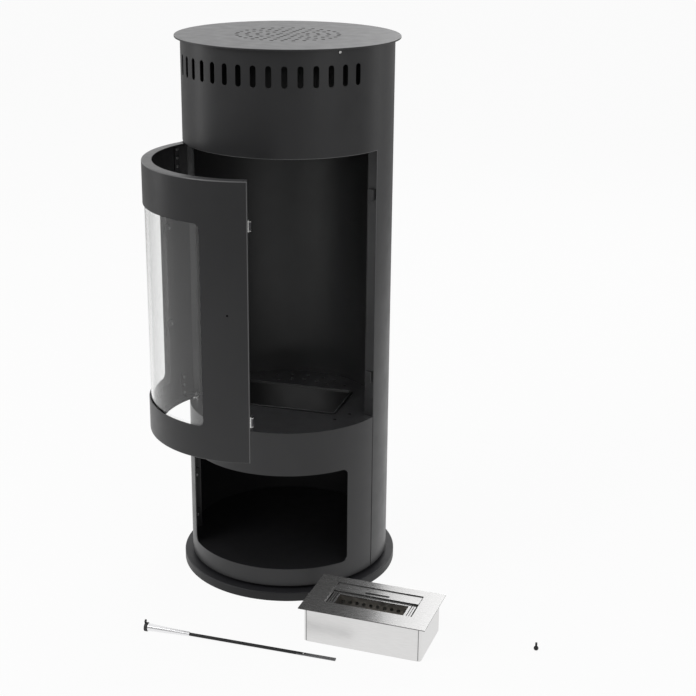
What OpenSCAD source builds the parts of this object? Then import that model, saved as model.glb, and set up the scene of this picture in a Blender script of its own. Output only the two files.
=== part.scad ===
// Free-standing bioethanol fireplace: a tall round steel body with a curved glazed door,
// a storage bay below it, a lift-out stainless burner and its operating hook.
// All sizes are in millimetres. The origin is on the floor on the body's axis.
// The front faces -Y. Azimuths are measured from the front, positive towards +X.

/* [Body] */
// Outer diameter of the body
body_d = 394; // [380:2:410]
// Height from the floor to the top of the lid
total_h = 1050; // [1030:2:1080]
// Thickness of the rolled body sheet
shell_t = 2; // [1.5:0.5:3]
// Angle of the front opening about the body's axis
opening_a = 145.4; // [145:0.2:148]
// Height of the drum above the front opening
drum_h = 189; // [180:1:210]
// Width of the inward flanges round the opening and the door
flange_w = 18.5; // [18:0.5:20]

/* [Base] */
// Overhang of the base plinth past the body
base_overhang = 16; // [12:1:28]
// Height of the base plinth
base_h = 17.5; // [15:0.5:22]
// Thickness of the plinth's sheet
base_t = 3; // [2:0.5:4]
// Radius of the plinth's rounded upper edge
base_round = 2; // [1:0.5:2.5]
// Height of the shadow gap between the plinth and the body
foot_gap = 7; // [5:0.5:12]
// Inset of the foot ring behind the body's surface
foot_inset = 11; // [8:1:16]
// Number of screws between the foot ring and the plinth
base_screw_count = 4; // [3:1:6]

/* [Lid] */
// Overhang of the lid past the body
lid_overhang = 11; // [8:1:25]
// Thickness of the lid
lid_t = 3; // [2:0.5:5]
// Number of rings of holes in the lid
perf_rings = 5; // [3:1:6]
// Distance between the rings of holes
perf_pitch = 18.8; // [17:0.2:22]
// Diameter of each lid hole
perf_d = 8; // [5:0.5:10]
// Height of the collar that carries the lid
collar_h = 18; // [15:1:20]
// Number of screws that hold the lid
lid_screw_count = 3; // [3:1:6]

/* [Air slots] */
// Number of upright slots in the drum
slot_count = 15; // [9:2:17]
// Angle between two slots
slot_step_a = 8.07; // [6:0.01:8.2]
// Width of a slot
slot_w = 10.5; // [8:0.5:12]
// Height of a slot
slot_h = 38; // [30:1:50]
// Distance from the lid's underside to the slots
slot_drop = 27; // [22:1:30]

/* [Storage bay] */
// Height of the lower front panel's top edge above the floor
panel_top = 342; // [330:2:350]
// Angle of the storage opening about the body's axis
storage_a = 105; // [90:1:110]
// Height of the storage floor above the floor
storage_z = 57; // [50:1:70]
// Height of the sill above the storage floor
storage_sill = 3; // [1:0.5:10]
// Height of the panel band above the storage opening
storage_band = 87; // [70:1:110]
// Corner radius of the storage opening
storage_corner = 12; // [6:1:20]
// Angle of the seam between the panel and the body
seam_a = 0.5; // [0.3:0.1:0.8]

/* [Firebox] */
// Distance of the liner's centre in front of the body's axis
liner_shift = 20; // [15:1:26]
// Thickness of the liner
liner_t = 1.5; // [1:0.5:2.5]
// Thickness of the firebox floor, the storage floor and the ceiling
plate_t = 2; // [1.5:0.5:3]
// Diameter of the hot air outlet in the ceiling
outlet_d = 190; // [150:2:220]
// Diameter of the heat deflector above the outlet
deflector_d = 250; // [240:2:300]
// Height of the deflector above the ceiling
deflector_gap = 60; // [30:1:80]
// Number of deflector spacers
spacer_count = 3; // [3:1:6]
// Diameter of the air holes in the firebox floor
air_hole_d = 7; // [4:0.5:8]
// Width of the raised rim round the burner seat
seat_rim_w = 3; // [2:0.5:5]
// Height of the raised rim round the burner seat
seat_rim_h = 3.5; // [2:0.5:6]

/* [Door] */
// Angle of the door about the body's axis
door_a = 137.7; // [136:0.1:138]
// Thickness of the door's sheet
door_t = 2; // [1.5:0.5:3]
// Gap between the panel and the door's lower edge
door_low_gap = 5.5; // [4:0.5:8]
// Gap between the door's upper edge and the opening
door_top_gap = 5; // [4:0.5:8]
// Angle of the window about the body's axis
window_a = 87.8; // [80:0.1:92]
// Height of the band below the window
window_low_band = 61.5; // [50:0.5:90]
// Height of the band above the window
window_top_band = 77; // [60:0.5:110]
// Corner radius of the window
window_corner = 12; // [6:1:20]
// Angle by which the door stands open
door_open_a = 52.5; // [0:0.5:90]
// Diameter of the knob's stud
stud_d = 4; // [3:0.5:6]
// Height of the fitted knob above the door's lower edge
knob_rise = 271.5; // [220:0.5:330]
// Distance from the door's free edge to the knob
knob_edge = 36.8; // [25:0.1:60]

/* [Hinges] */
// Depth of the pivot behind the body's surface
pivot_inset = 12.2; // [11.5:0.1:13]
// Distance from the door's hinge edge to the pivot
pivot_edge = 1.5; // [0.5:0.1:3]
// Diameter of the hinge pins
pin_d = 6; // [5:0.5:6.5]
// Radial running clearance of the hinge pins
pin_clearance = 0.05; // [0.03:0.01:0.1]
// Diameter of the bush collars
collar_d = 12; // [10:0.5:12.5]
// Diameter of the bush bodies
bush_d = 9; // [8:0.5:9.5]
// Height of a hinge leaf
leaf_h = 52; // [46:1:80]
// Thickness of a hinge leaf
leaf_t = 2; // [1.5:0.5:2.5]
// Thickness of the tab that holds the pin
tab_t = 3; // [2:0.5:4]
// Upright distance between the screws of a hinge leaf
leaf_screw_pitch = 16; // [14:1:20]

/* [Glass] */
// Thickness of the curved glass
glass_t = 4; // [3:0.5:5]
// Thickness of the glass seal
seal_t = 1.2; // [0.8:0.1:2]
// Distance by which the glass laps behind the window's edge
glass_lap = 15; // [12:1:18]
// Width of a glass clip
clip_w = 16; // [12:1:20]
// Thickness of a glass clip
clip_t = 1.5; // [1:0.5:2]

/* [Catches] */
// Height of a magnet catch
catch_h = 21; // [16:1:30]
// Depth of a magnet catch along the body's radius
catch_w = 12; // [10:1:13]
// Thickness of a magnet catch on the door
magnet_t = 6; // [4:0.5:8]
// Distance from the door's lower edge to the lower catch
catch_low_rise = 75.5; // [60:0.5:120]
// Distance from the door's upper edge to the upper catch
catch_high_drop = 77; // [60:0.5:120]
// Air gap between a catch and its strike pad when the door is shut
catch_gap = 0.5; // [0.4:0.1:1]

/* [Burner] */
// Width of the burner's top plate
burner_w = 240; // [232:2:250]
// Depth of the burner's top plate
burner_d = 140; // [136:2:150]
// Height of the burner
burner_h = 70; // [60:1:90]
// Thickness of the top plate
burner_plate_t = 1.5; // [1:0.5:2]
// Distance by which the top plate overhangs the tank
plate_overhang = 8.5; // [6:0.5:10]
// Thickness of the tank's sheet
tank_t = 1.2; // [0.8:0.1:2]
// Corner radius of the tank
tank_corner = 6; // [4:0.5:10]
// Width of the opening in the top plate
recess_w = 167; // [150:1:180]
// Depth of the opening in the top plate
recess_d = 79; // [70:1:84]
// Distance of the opening behind the plate's middle
recess_shift = 9.5; // [6:0.5:10]
// Width of the fire trough
trough_w = 134; // [120:1:140]
// Depth of the fire trough from front to back
trough_d = 40; // [34:1:42]
// Height of the fire trough
trough_h = 24; // [18:1:30]
// Number of holes along the fire trough
trough_hole_count = 10; // [6:1:12]
// Diameter of the trough's holes
trough_hole_d = 7; // [4:0.5:8]
// Thickness of the shutter
shutter_t = 1.5; // [1:0.5:2]
// Depth of the shutter from front to back
shutter_d = 40; // [38:1:42]
// Length of the finger slit in the shutter
slit_w = 47; // [30:1:60]
// Width of the finger slit
slit_d = 3; // [2:0.5:4]
// Distance by which the shutter stands open
shutter_open = 47.5; // [0:0.5:47.5]
// Place of the burner's middle to the right of the body's axis
burner_x = 250; // [240:1:300]
// Place of the burner's middle in front of the body's axis
burner_y = -280; // [-330:1:-275]
// Turn of the burner on the floor
burner_turn = -3.3; // [-10:0.1:10]

/* [Operating hook] */
// Length of the handle
handle_len = 82; // [60:1:110]
// Diameter of the handle's wide end
handle_d = 14; // [12:0.5:18]
// Diameter of the handle's narrow end
handle_tip_d = 8; // [7:0.5:10]
// Length of the rod outside the handle
rod_len = 218; // [180:1:260]
// Diameter of the rod
rod_d = 6; // [5:0.5:6.5]
// Length of the flat blade
blade_len = 61; // [40:1:80]
// Width of the flat blade
blade_w = 7.5; // [7:0.5:12]
// Thickness of the flat blade
blade_t = 2.5; // [2:0.5:3]
// Diameter of the end cap
cap_d = 17; // [15:0.5:20]
// Thickness of the end cap
cap_t = 6; // [4:0.5:8]
// Place of the cap's outer face to the right of the body's axis
hook_x = -156; // [-170:1:-120]
// Place of the hook in front of the body's axis
hook_y = -385; // [-420:1:-370]

/* [Knob] */
// Diameter of the knob
knob_d = 9; // [8:0.5:14]
// Height of the knob's round head
knob_h = 7.5; // [6:0.5:7.5]
// Length of the knob's stud
stud_len = 7.3; // [6:0.1:12]
// Place of the loose knob to the right of the body's axis
knob_x = 549; // [520:1:580]
// Place of the loose knob in front of the body's axis
knob_y = -245; // [-280:1:-200]

/* [Hidden] */
$fn = 96;

// Overrun of every cut and the gap at which curved sheets of one body are seated
over = 1;
seat_gap = 0.1;
// Running gap beside faces that turn on each other
run_gap = 0.3;

// Screws
screw_d = 3;
screw_head_d = 6;
screw_head_h = 1.8;
// Gap under the middle of a flat screw head on the hollow side of a curved sheet
head_gap = 0.04;
lid_screw_d = 3;
lid_screw_head_d = 5;
lid_screw_head_h = 1.6;
lid_screw_turn = 45;
lid_screw_drop = 5;

// Body
body_r = body_d / 2;
inner_r = body_r - shell_t;
shell_low = base_h + foot_gap;
base_r = body_r + base_overhang;
lid_r = body_r + lid_overhang;
lid_low = total_h - lid_t;
opening_top = lid_low - drum_h;
half_opening_a = opening_a / 2;
flange_r = body_r - flange_w;
jamb_a = arc_a(shell_t, body_r);
header_top = opening_top + shell_t;

// Base
foot_r = body_r - foot_inset;
foot_t = 3;
foot_flange = 18;
base_screw_r = foot_r - foot_flange / 2;
base_screw_d = 5;
base_head_d = 9;
base_head_h = 3;

// Storage bay
storage_floor_low = storage_z - plate_t;
storage_low = storage_z + storage_sill;
storage_top = panel_top - storage_band;
half_storage_a = storage_a / 2;
panel_half_a = half_opening_a - seam_a;
bracket_h = 30;
bracket_leg = 12;
bracket_edge = 12;

// Firebox
floor_low = panel_top - plate_t;
jamb_x = flange_r * sin(half_opening_a);
jamb_y = -flange_r * cos(half_opening_a);
liner_r = norm([jamb_x, jamb_y + liner_shift]) - seat_gap;
liner_end_a = atan2(jamb_x, -(jamb_y + liner_shift));
ceiling_top = header_top + plate_t;
deflector_low = ceiling_top + deflector_gap;
spacer_d = 8;
spacer_r = (outlet_d + deflector_d) / 4;
back_ring_share = 0.82;
inner_ring_share = 0.66;
air_step_a = 15;
seat_clearance = 1;
seat_shift = -7;
tank_w = burner_w - 2 * plate_overhang;
tank_d = burner_d - 2 * plate_overhang;
cutout_w = tank_w + 2 * seat_clearance;
cutout_d = tank_d + 2 * seat_clearance;
cutout_corner = tank_corner + seat_clearance;
plate_r = inner_r - seat_gap;

// Door
door_low = panel_top + door_low_gap;
door_top = opening_top - door_top_gap;
knob_z = door_low + knob_rise;
door_r = body_r;
door_in_r = door_r - door_t;
half_door_a = door_a / 2;
window_low = door_low + window_low_band;
window_top = door_top - window_top_band;
half_window_a = window_a / 2;
knob_a = half_door_a - arc_a(knob_edge, door_r);
rim_end_a = half_door_a - arc_a(pivot_edge + collar_d, door_r);

// Hinges
pivot_r = body_r - pivot_inset;
pivot_a = -(half_door_a - arc_a(pivot_edge, door_r));
pivot_x = pivot_r * sin(pivot_a);
pivot_y = -pivot_r * cos(pivot_a);
leaf_r = door_in_r - seat_gap;
leaf_screw_reach = 24;
leaf_screw_a = pivot_a + arc_a(leaf_screw_reach, leaf_r);
leaf_end_a = pivot_a + arc_a(leaf_screw_reach + screw_head_d, leaf_r);
tab_round = 6.5;
tab_reach = 20;
tab_end_a = pivot_a + arc_a(tab_reach, leaf_r);
pin_head_d = 9;
pin_head_h = 2;
pin_past_bush = 2;

// Glass
seal_r = door_in_r - seat_gap;
glass_r = seal_r - seal_t;
glass_in_r = glass_r - glass_t;
glass_half_a = half_window_a + arc_a(glass_lap, glass_r);
glass_low = window_low - glass_lap;
glass_top = window_top + glass_lap;
seal_edge = 3;
clip_lap = 7;
clip_foot = 12;
clip_foot_gap = 1;
clip_half_a = arc_a(clip_w / 2, glass_in_r);
side_clip_shares = [0.28, 0.79];
band_clip_shares = [-0.8, 0, 0.8];

// Catches
catch_edge = 2;
catch_in_r = inner_r - catch_w - catch_edge;
side_gap_a = half_opening_a - half_door_a;
strike_t = catch_in_r * sin(side_gap_a) - magnet_t - catch_gap;
catch_low_z = door_low + catch_low_rise;
catch_high_z = door_top - catch_high_drop;

// Burner
burner_plate_low = burner_h - burner_plate_t;
shutter_gap = 0.3;
shutter_top = burner_plate_low - shutter_gap;
shutter_low = shutter_top - shutter_t;
ledge_top = shutter_low - shutter_gap;
ledge_t = 1.2;
recess_back = recess_shift + recess_d / 2;
recess_front = recess_shift - recess_d / 2;
frame_gap = 1;
shutter_w = recess_w - 2 * frame_gap;
frame_side = 6;
frame_back = tank_d / 2 - tank_t - frame_gap;
trough_t = 1;
trough_inset = 2;
trough_front = recess_front + trough_inset;
trough_back = trough_front + trough_d;
trough_top = ledge_top - ledge_t;
trough_low = trough_top - trough_h;
shutter_front = recess_front + frame_gap + shutter_open;
slit_inset = 7;
wool_gap = 1;

// Operating hook
hook_drop = (cap_d - rod_d) / 2;
hook_tilt = atan(hook_drop / (handle_len + rod_len));
hook_rise = cap_d / 2 * cos(hook_tilt) + cap_t * sin(hook_tilt);
rod_grip = 20;
blade_grip = 12;
eye_d = 7;
eye_hole_d = 4;
eye_t = 2;
eye_reach = (cap_d + eye_hole_d) / 2 + (eye_d - eye_hole_d) / 4;

black = [0.17, 0.17, 0.18];
dark = [0.12, 0.12, 0.13];
steel = [0.72, 0.72, 0.73];
zinc = [0.82, 0.83, 0.85];

// Angle in degrees of an arc of a given length at a given radius
function arc_a(length, radius) = length / radius * 180 / PI;

// Piece of a ring between two radii, two heights and two azimuths
module sector(r_in, r_out, z_low, z_top, a_start, a_end) {
    rotate([0, 0, a_start - 90])
        rotate_extrude(angle = a_end - a_start)
            translate([r_in, z_low])
                square([r_out - r_in, z_top - z_low]);
}

// Full ring between two radii and two heights
module ring(r_in, r_out, z_low, z_top) {
    rotate_extrude()
        translate([r_in, z_low])
            square([r_out - r_in, z_top - z_low]);
}

// Places its children at an azimuth, with +X along the radius
module at_azimuth(a) {
    rotate([0, 0, a - 90])
        children();
}

// Cylinder that lies along the radius between two radii
module radial_rod(r_in, r_out, z, a, d) {
    at_azimuth(a)
        translate([r_in, 0, z])
            rotate([0, 90, 0])
                cylinder(d = d, h = r_out - r_in, $fn = 32);
}

// Window with round corners, cut through a curved sheet
module curved_window(r_in, r_out, z_low, z_top, half_a, corner) {
    corner_a = arc_a(corner, (r_in + r_out) / 2);
    sector(r_in, r_out, z_low + corner, z_top - corner, -half_a, half_a);
    sector(r_in, r_out, z_low, z_top, corner_a - half_a, half_a - corner_a);
    for (side = [-1, 1])
        for (z = [z_low + corner, z_top - corner])
            radial_rod(r_in, r_out, z, side * (half_a - corner_a), 2 * corner);
}

// Upright block with round corners, centred on its axis
module round_block(w, d, h, corner) {
    linear_extrude(h)
        union() {
            square([w - 2 * corner, d], center = true);
            square([w, d - 2 * corner], center = true);
            for (x = [-1, 1])
                for (y = [-1, 1])
                    translate([x * (w / 2 - corner), y * (d / 2 - corner)])
                        circle(r = corner, $fn = 48);
        }
}

// Turns the closed door about its pivot to the place where it stands open
module opened_door() {
    translate([pivot_x, pivot_y, 0])
        rotate([0, 0, -door_open_a])
            translate([-pivot_x, -pivot_y, 0])
                children();
}

// Puts the burner where it stands on the floor
module placed_burner() {
    translate([burner_x, burner_y, 0])
        rotate([0, 0, burner_turn])
            children();
}

// Lays the operating hook on the floor, resting on its cap and the end of its rod
module placed_hook() {
    translate([hook_x, hook_y, hook_rise])
        rotate([0, hook_tilt, 0])
            children();
}

// Pressed steel pan that the stove stands on
module base_plinth() {
    color(black)
        difference() {
            rotate_extrude()
                union() {
                    square([base_r, base_h - base_round]);
                    square([base_r - base_round, base_h]);
                    translate([base_r - base_round, base_h - base_round])
                        circle(r = base_round, $fn = 32);
                }
            translate([0, 0, -over])
                cylinder(r = base_r - base_t, h = base_h - base_t + over);
            base_screw_holes();
        }
}

// Upright holes for the screws between the foot ring and the plinth
module base_screw_holes() {
    for (i = [0 : base_screw_count - 1])
        at_azimuth(base_turn(i))
            translate([base_screw_r, 0, 0])
                cylinder(d = base_screw_d, h = base_h + 2 * foot_t, $fn = 32);
}

// Azimuth of one of the base screws
function base_turn(i) = (i + 1 / 2) * 360 / base_screw_count;

// Ring that lifts the body off the plinth and leaves a shadow gap
module foot_ring() {
    color(dark)
        difference() {
            union() {
                ring(foot_r - foot_t, foot_r, base_h, storage_floor_low);
                ring(foot_r - foot_flange, foot_r - foot_t, base_h, base_h + foot_t);
            }
            base_screw_holes();
        }
}

// Screws that hold the foot ring to the plinth
module base_screws() {
    color(zinc)
        for (i = [0 : base_screw_count - 1])
            at_azimuth(base_turn(i))
                translate([base_screw_r, 0, 0]) {
                    translate([0, 0, base_h - base_t])
                        cylinder(d = base_screw_d - seat_gap, h = base_t + foot_t, $fn = 32);
                    translate([0, 0, base_h + foot_t])
                        cylinder(d = base_head_d, h = base_head_h, $fn = 6);
                }
}

// Floor of the storage bay
module storage_floor() {
    color(dark)
        translate([0, 0, storage_floor_low])
            cylinder(r = plate_r, h = plate_t, $fn = 128);
}

// Rolled sheet of the drum above the front opening, with the air slots
module drum_shell() {
    color(black)
        difference() {
            ring(inner_r, body_r, opening_top, lid_low);
            air_slots();
            lid_screw_holes();
        }
}

// Rolled sheet round the back, from one side of the front opening to the other
module rear_shell() {
    color(black)
        sector(inner_r, body_r, shell_low, opening_top, half_opening_a, 360 - half_opening_a);
}

// Upright flanges along both sides of the front opening
module jamb_flanges() {
    color(black)
        difference() {
            for (side = [-1, 1])
                at_azimuth(side * half_opening_a)
                    translate([flange_r, side > 0 ? 0 : -shell_t, storage_z])
                        cube([inner_r - seat_gap - flange_r, shell_t, opening_top - storage_z]);
            panel_screw_holes();
        }
}

// Flange along the upper edge of the front opening
module header_flange() {
    color(black)
        difference() {
            sector(flange_r, inner_r - seat_gap, opening_top, header_top,
                -half_opening_a - 2 * jamb_a, half_opening_a + 2 * jamb_a);
            translate([pivot_x, pivot_y, opening_top - over])
                cylinder(d = bush_d, h = shell_t + 2 * over, $fn = 48);
        }
}

// Upright slots with round ends round the front of the drum
module air_slots() {
    half_straight = (slot_h - slot_w) / 2;
    for (i = [0 : slot_count - 1])
        at_azimuth((i - (slot_count - 1) / 2) * slot_step_a)
            translate([inner_r - over, 0, lid_low - slot_drop - slot_h / 2])
                rotate([90, 0, 90])
                    linear_extrude(shell_t + 2 * over)
                        union() {
                            square([slot_w, 2 * half_straight], center = true);
                            for (side = [-1, 1])
                                translate([0, side * half_straight])
                                    circle(d = slot_w, $fn = 32);
                        }
}

// Holes for the screws that hold the lid
module lid_screw_holes() {
    for (i = [0 : lid_screw_count - 1])
        radial_rod(plate_r - 2 * shell_t, body_r + over, lid_low - lid_screw_drop, lid_turn(i), lid_screw_d);
}

// Azimuth of one of the lid screws
function lid_turn(i) = lid_screw_turn + i * 360 / lid_screw_count;

// Lower front panel with the storage opening
module front_panel() {
    color(black)
        difference() {
            sector(inner_r, body_r, shell_low, panel_top, -panel_half_a, panel_half_a);
            curved_window(inner_r - over, body_r + over, storage_low, storage_top,
                half_storage_a, storage_corner);
        }
}

// Heights of the panel's brackets
function bracket_zs() = [
    storage_z + bracket_edge,
    (storage_low + storage_top) / 2,
    floor_low - bracket_edge - bracket_h
];

// Angle brackets that hold the front panel to the jamb flanges
module panel_brackets() {
    color(dark)
        difference() {
            for (side = [-1, 1])
                for (z = bracket_zs())
                    panel_bracket(side, z);
            panel_screw_holes();
        }
}

// One angle bracket: a leg on the jamb flange and a leg behind the panel
module panel_bracket(side, z) {
    at_azimuth(side * half_opening_a)
        translate([inner_r - shell_t - bracket_leg, side > 0 ? -shell_t : 0, z])
            cube([bracket_leg, shell_t, bracket_h]);
    leg_start = half_opening_a - arc_a(bracket_leg, inner_r);
    leg_end = half_opening_a - jamb_a / 2;
    sector(inner_r - shell_t - seat_gap, inner_r - seat_gap, z, z + bracket_h,
        side > 0 ? leg_start : -leg_end, side > 0 ? leg_end : -leg_start);
}

// Holes for the bracket screws through the brackets and the jamb flanges
module panel_screw_holes() {
    for (side = [-1, 1])
        for (z = bracket_zs())
            panel_screw_place(side, z)
                translate([0, 0, -2 * shell_t])
                    cylinder(d = screw_d, h = 4 * shell_t, $fn = 24);
}

// Puts its children on a bracket screw's axis, with +Z into the storage bay
module panel_screw_place(side, z) {
    at_azimuth(side * half_opening_a)
        translate([inner_r - shell_t - bracket_leg / 2, 0, z + bracket_h / 2])
            rotate([side * 90, 0, 0])
                children();
}

// Screws of the panel's brackets
module panel_screws() {
    color(zinc)
        for (side = [-1, 1])
            for (z = bracket_zs())
                panel_screw_place(side, z) {
                    translate([0, 0, -shell_t])
                        cylinder(d = screw_d - seat_gap, h = 2 * shell_t, $fn = 24);
                    translate([0, 0, shell_t])
                        cylinder(d = screw_head_d, h = screw_head_h, $fn = 24);
                }
}

// Firebox floor with the burner's cut-out, the air holes and the lower bush's hole
module firebox_floor() {
    color(black)
        difference() {
            translate([0, 0, floor_low])
                cylinder(r = plate_r, h = plate_t, $fn = 128);
            jamb_notches();
            translate([0, seat_shift, floor_low - over])
                round_block(cutout_w, cutout_d, plate_t + 2 * over, cutout_corner);
            air_holes();
            translate([pivot_x, pivot_y, floor_low - over])
                cylinder(d = bush_d, h = plate_t + 2 * over, $fn = 48);
        }
}

// Notches where the jamb flanges pass the firebox floor
module jamb_notches() {
    notch_gap = 2 * seat_gap;
    for (side = [-1, 1])
        at_azimuth(side * half_opening_a)
            translate([
                flange_r - notch_gap,
                side > 0 ? -notch_gap : -shell_t - notch_gap,
                floor_low - over
            ])
                cube([flange_w, shell_t + 2 * notch_gap, plate_t + 2 * over]);
}

// Round air holes behind the burner and at both sides in front of it
module air_holes() {
    outer = liner_r - liner_shift;
    for (step = [-3 : 3])
        air_hole(outer * back_ring_share, 180 + step * air_step_a);
    for (step = [-2 : 2])
        air_hole(outer * inner_ring_share, 180 + step * air_step_a);
    for (side = [-1, 1])
        for (step = [1 : 2])
            air_hole(outer, side * (half_storage_a + (step - 1) * air_step_a));
}

// One upright air hole at a radius and an azimuth
module air_hole(r, a) {
    at_azimuth(a)
        translate([r, 0, floor_low - over])
            cylinder(d = air_hole_d, h = plate_t + 2 * over, $fn = 24);
}

// Raised rim round the cut-out, on which the burner's plate rests
module burner_seat() {
    color(black)
        translate([0, seat_shift, panel_top])
            difference() {
                round_block(cutout_w + 2 * seat_rim_w, cutout_d + 2 * seat_rim_w, seat_rim_h,
                    cutout_corner + seat_rim_w);
                translate([0, 0, -over])
                    round_block(cutout_w, cutout_d, seat_rim_h + 2 * over, cutout_corner);
            }
}

// Curved back wall of the firebox, from jamb to jamb
module firebox_liner() {
    color(dark)
        translate([0, -liner_shift, 0])
            sector(liner_r - liner_t, liner_r, panel_top, header_top, liner_end_a, 360 - liner_end_a);
}

// Ceiling of the firebox with the hot air outlet
module firebox_ceiling() {
    color(dark)
        difference() {
            translate([0, 0, header_top])
                cylinder(r = plate_r, h = plate_t, $fn = 128);
            translate([0, 0, header_top - over])
                cylinder(d = outlet_d, h = plate_t + 2 * over);
            translate([pivot_x, pivot_y, header_top - over])
                cylinder(d = bush_d, h = plate_t + 2 * over, $fn = 48);
        }
}

// Upright spacers under the heat deflector
module deflector_spacers() {
    color(zinc)
        for (i = [0 : spacer_count - 1])
            at_azimuth(i * 360 / spacer_count)
                translate([spacer_r, 0, ceiling_top])
                    cylinder(d = spacer_d, h = deflector_gap, $fn = 32);
}

// Round plate that turns the hot air out to the slots
module heat_deflector() {
    color(dark)
        translate([0, 0, deflector_low])
            cylinder(d = deflector_d, h = plate_t);
}

// Angle ring inside the drum's top, which carries the lid
module lid_collar() {
    color(dark)
        difference() {
            union() {
                ring(plate_r - shell_t, plate_r, lid_low - collar_h, lid_low);
                ring(flange_r, plate_r - shell_t, lid_low - shell_t, lid_low);
            }
            lid_screw_holes();
        }
}

// Round lid with its perforated field
module top_lid() {
    color(black)
        translate([0, 0, lid_low])
            difference() {
                cylinder(r = lid_r, h = lid_t, $fn = 128);
                lid_hole(0, 0);
                for (k = [1 : perf_rings])
                    for (i = [0 : 6 * k - 1])
                        lid_hole(k * perf_pitch, i * 60 / k);
            }
}

// One upright lid hole at a radius and an azimuth
module lid_hole(r, a) {
    at_azimuth(a)
        translate([r, 0, -over])
            cylinder(d = perf_d, h = lid_t + 2 * over, $fn = 24);
}

// Small round-head screws that hold the lid's collar in the drum
module lid_screws() {
    z = lid_low - lid_screw_drop;
    color(zinc)
        for (i = [0 : lid_screw_count - 1]) {
            radial_rod(plate_r - shell_t, body_r, z, lid_turn(i), lid_screw_d - seat_gap);
            radial_rod(body_r, body_r + lid_screw_head_h, z, lid_turn(i), lid_screw_head_d);
        }
}

// Bush in the opening's upper flange, with a collar that guides the door
module top_pivot_bush() {
    collar_low = door_top - shell_t + run_gap;
    color(zinc)
        translate([pivot_x, pivot_y, 0])
            difference() {
                union() {
                    translate([0, 0, opening_top])
                        cylinder(d = bush_d - 2 * seat_gap, h = shell_t + plate_t, $fn = 48);
                    translate([0, 0, collar_low])
                        cylinder(d = collar_d, h = opening_top - collar_low, $fn = 48);
                }
                translate([0, 0, collar_low - over])
                    cylinder(d = pin_d + 2 * pin_clearance, h = ceiling_top - collar_low + 2 * over, $fn = 48);
            }
}

// Bush in the firebox floor, with a collar that carries the door
module bottom_pivot_bush() {
    collar_top = door_low + shell_t - run_gap;
    color(zinc)
        translate([pivot_x, pivot_y, 0])
            difference() {
                union() {
                    translate([0, 0, floor_low])
                        cylinder(d = bush_d - 2 * seat_gap, h = plate_t, $fn = 48);
                    translate([0, 0, panel_top])
                        cylinder(d = collar_d, h = collar_top - panel_top, $fn = 48);
                }
                translate([0, 0, floor_low - over])
                    cylinder(d = pin_d + 2 * pin_clearance, h = collar_top - floor_low + 2 * over, $fn = 48);
            }
}

// Coated strike pads on the right jamb flange
module strike_pads() {
    color(black)
        for (z = [catch_low_z, catch_high_z])
            at_azimuth(half_opening_a)
                translate([catch_in_r, -strike_t, z - catch_h / 2])
                    cube([catch_w, strike_t, catch_h]);
}

// Curved outer sheet of the door with the window
module door_skin() {
    color(black)
        opened_door()
            difference() {
                sector(door_in_r, door_r, door_low, door_top, -half_door_a, half_door_a);
                curved_window(door_in_r - over, door_r + over, window_low, window_top,
                    half_window_a, window_corner);
                radial_rod(door_in_r - over, door_r + over, knob_z, knob_a, stud_d + 2 * seat_gap);
                leaf_screw_holes();
            }
}

// Flange along the door's upper or lower edge, short of the hinge
module door_rim(z_low) {
    sector(flange_r, door_in_r - seat_gap, z_low, z_low + door_t, -rim_end_a, half_door_a);
}

// Upper flange of the door
module door_top_rim() {
    color(black)
        opened_door()
            door_rim(door_top - door_t);
}

// Lower flange of the door
module door_bottom_rim() {
    color(black)
        opened_door()
            door_rim(door_low);
}

// Flange along the door's free edge, between the upper and the lower one
module door_free_flange() {
    color(black)
        opened_door()
            at_azimuth(half_door_a)
                translate([flange_r, -door_t, door_low + door_t])
                    cube([door_in_r - seat_gap - flange_r, door_t, door_top - door_low - 2 * door_t]);
}

// Heights of the screws in the upper and the lower hinge leaf
function leaf_screw_zs() = [
    for (middle = [door_low + door_t + leaf_h / 2, door_top - door_t - leaf_h / 2])
        for (step = [-1 : 1])
            middle + step * leaf_screw_pitch
];

// Holes for the hinge screws
module leaf_screw_holes() {
    for (z = leaf_screw_zs())
        radial_rod(leaf_r - 2 * leaf_t, door_r - door_t / 2, z, leaf_screw_a, screw_d);
}

// Hinge bracket: a curved leaf on the door's sheet and a tab that holds the pin
module hinge_bracket(leaf_low, tab_low) {
    difference() {
        union() {
            sector(leaf_r - leaf_t, leaf_r, leaf_low, leaf_low + leaf_h, pivot_a, leaf_end_a);
            sector(flange_r, leaf_r - leaf_t / 2, tab_low, tab_low + tab_t, pivot_a, tab_end_a);
            translate([pivot_x, pivot_y, tab_low])
                cylinder(r = tab_round, h = tab_t, $fn = 48);
        }
        translate([pivot_x, pivot_y, tab_low - over])
            cylinder(d = pin_d, h = tab_t + 2 * over, $fn = 48);
        leaf_screw_holes();
    }
}

// Upper hinge bracket
module top_hinge_bracket() {
    top = door_top - door_t;
    color(dark)
        opened_door()
            hinge_bracket(top - leaf_h, top - tab_t);
}

// Lower hinge bracket
module bottom_hinge_bracket() {
    low = door_low + door_t;
    color(dark)
        opened_door()
            hinge_bracket(low, low);
}

// Screws of both hinge leaves, with their heads on the inside
module hinge_screws() {
    head_r = leaf_r - leaf_t;
    color(zinc)
        opened_door()
            for (z = leaf_screw_zs()) {
                radial_rod(head_r - screw_head_h, door_r - door_t / 2, z, leaf_screw_a, screw_d - seat_gap);
                radial_rod(head_r - screw_head_h, head_r - head_gap, z, leaf_screw_a, screw_head_d);
            }
}

// Pin with a head under the upper tab
module top_hinge_pin() {
    tab_low = door_top - door_t - tab_t;
    color(steel)
        opened_door()
            translate([pivot_x, pivot_y, 0]) {
                translate([0, 0, tab_low])
                    cylinder(d = pin_d, h = ceiling_top + pin_past_bush - tab_low, $fn = 48);
                translate([0, 0, tab_low - pin_head_h])
                    cylinder(d = pin_head_d, h = pin_head_h, $fn = 48);
            }
}

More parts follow.
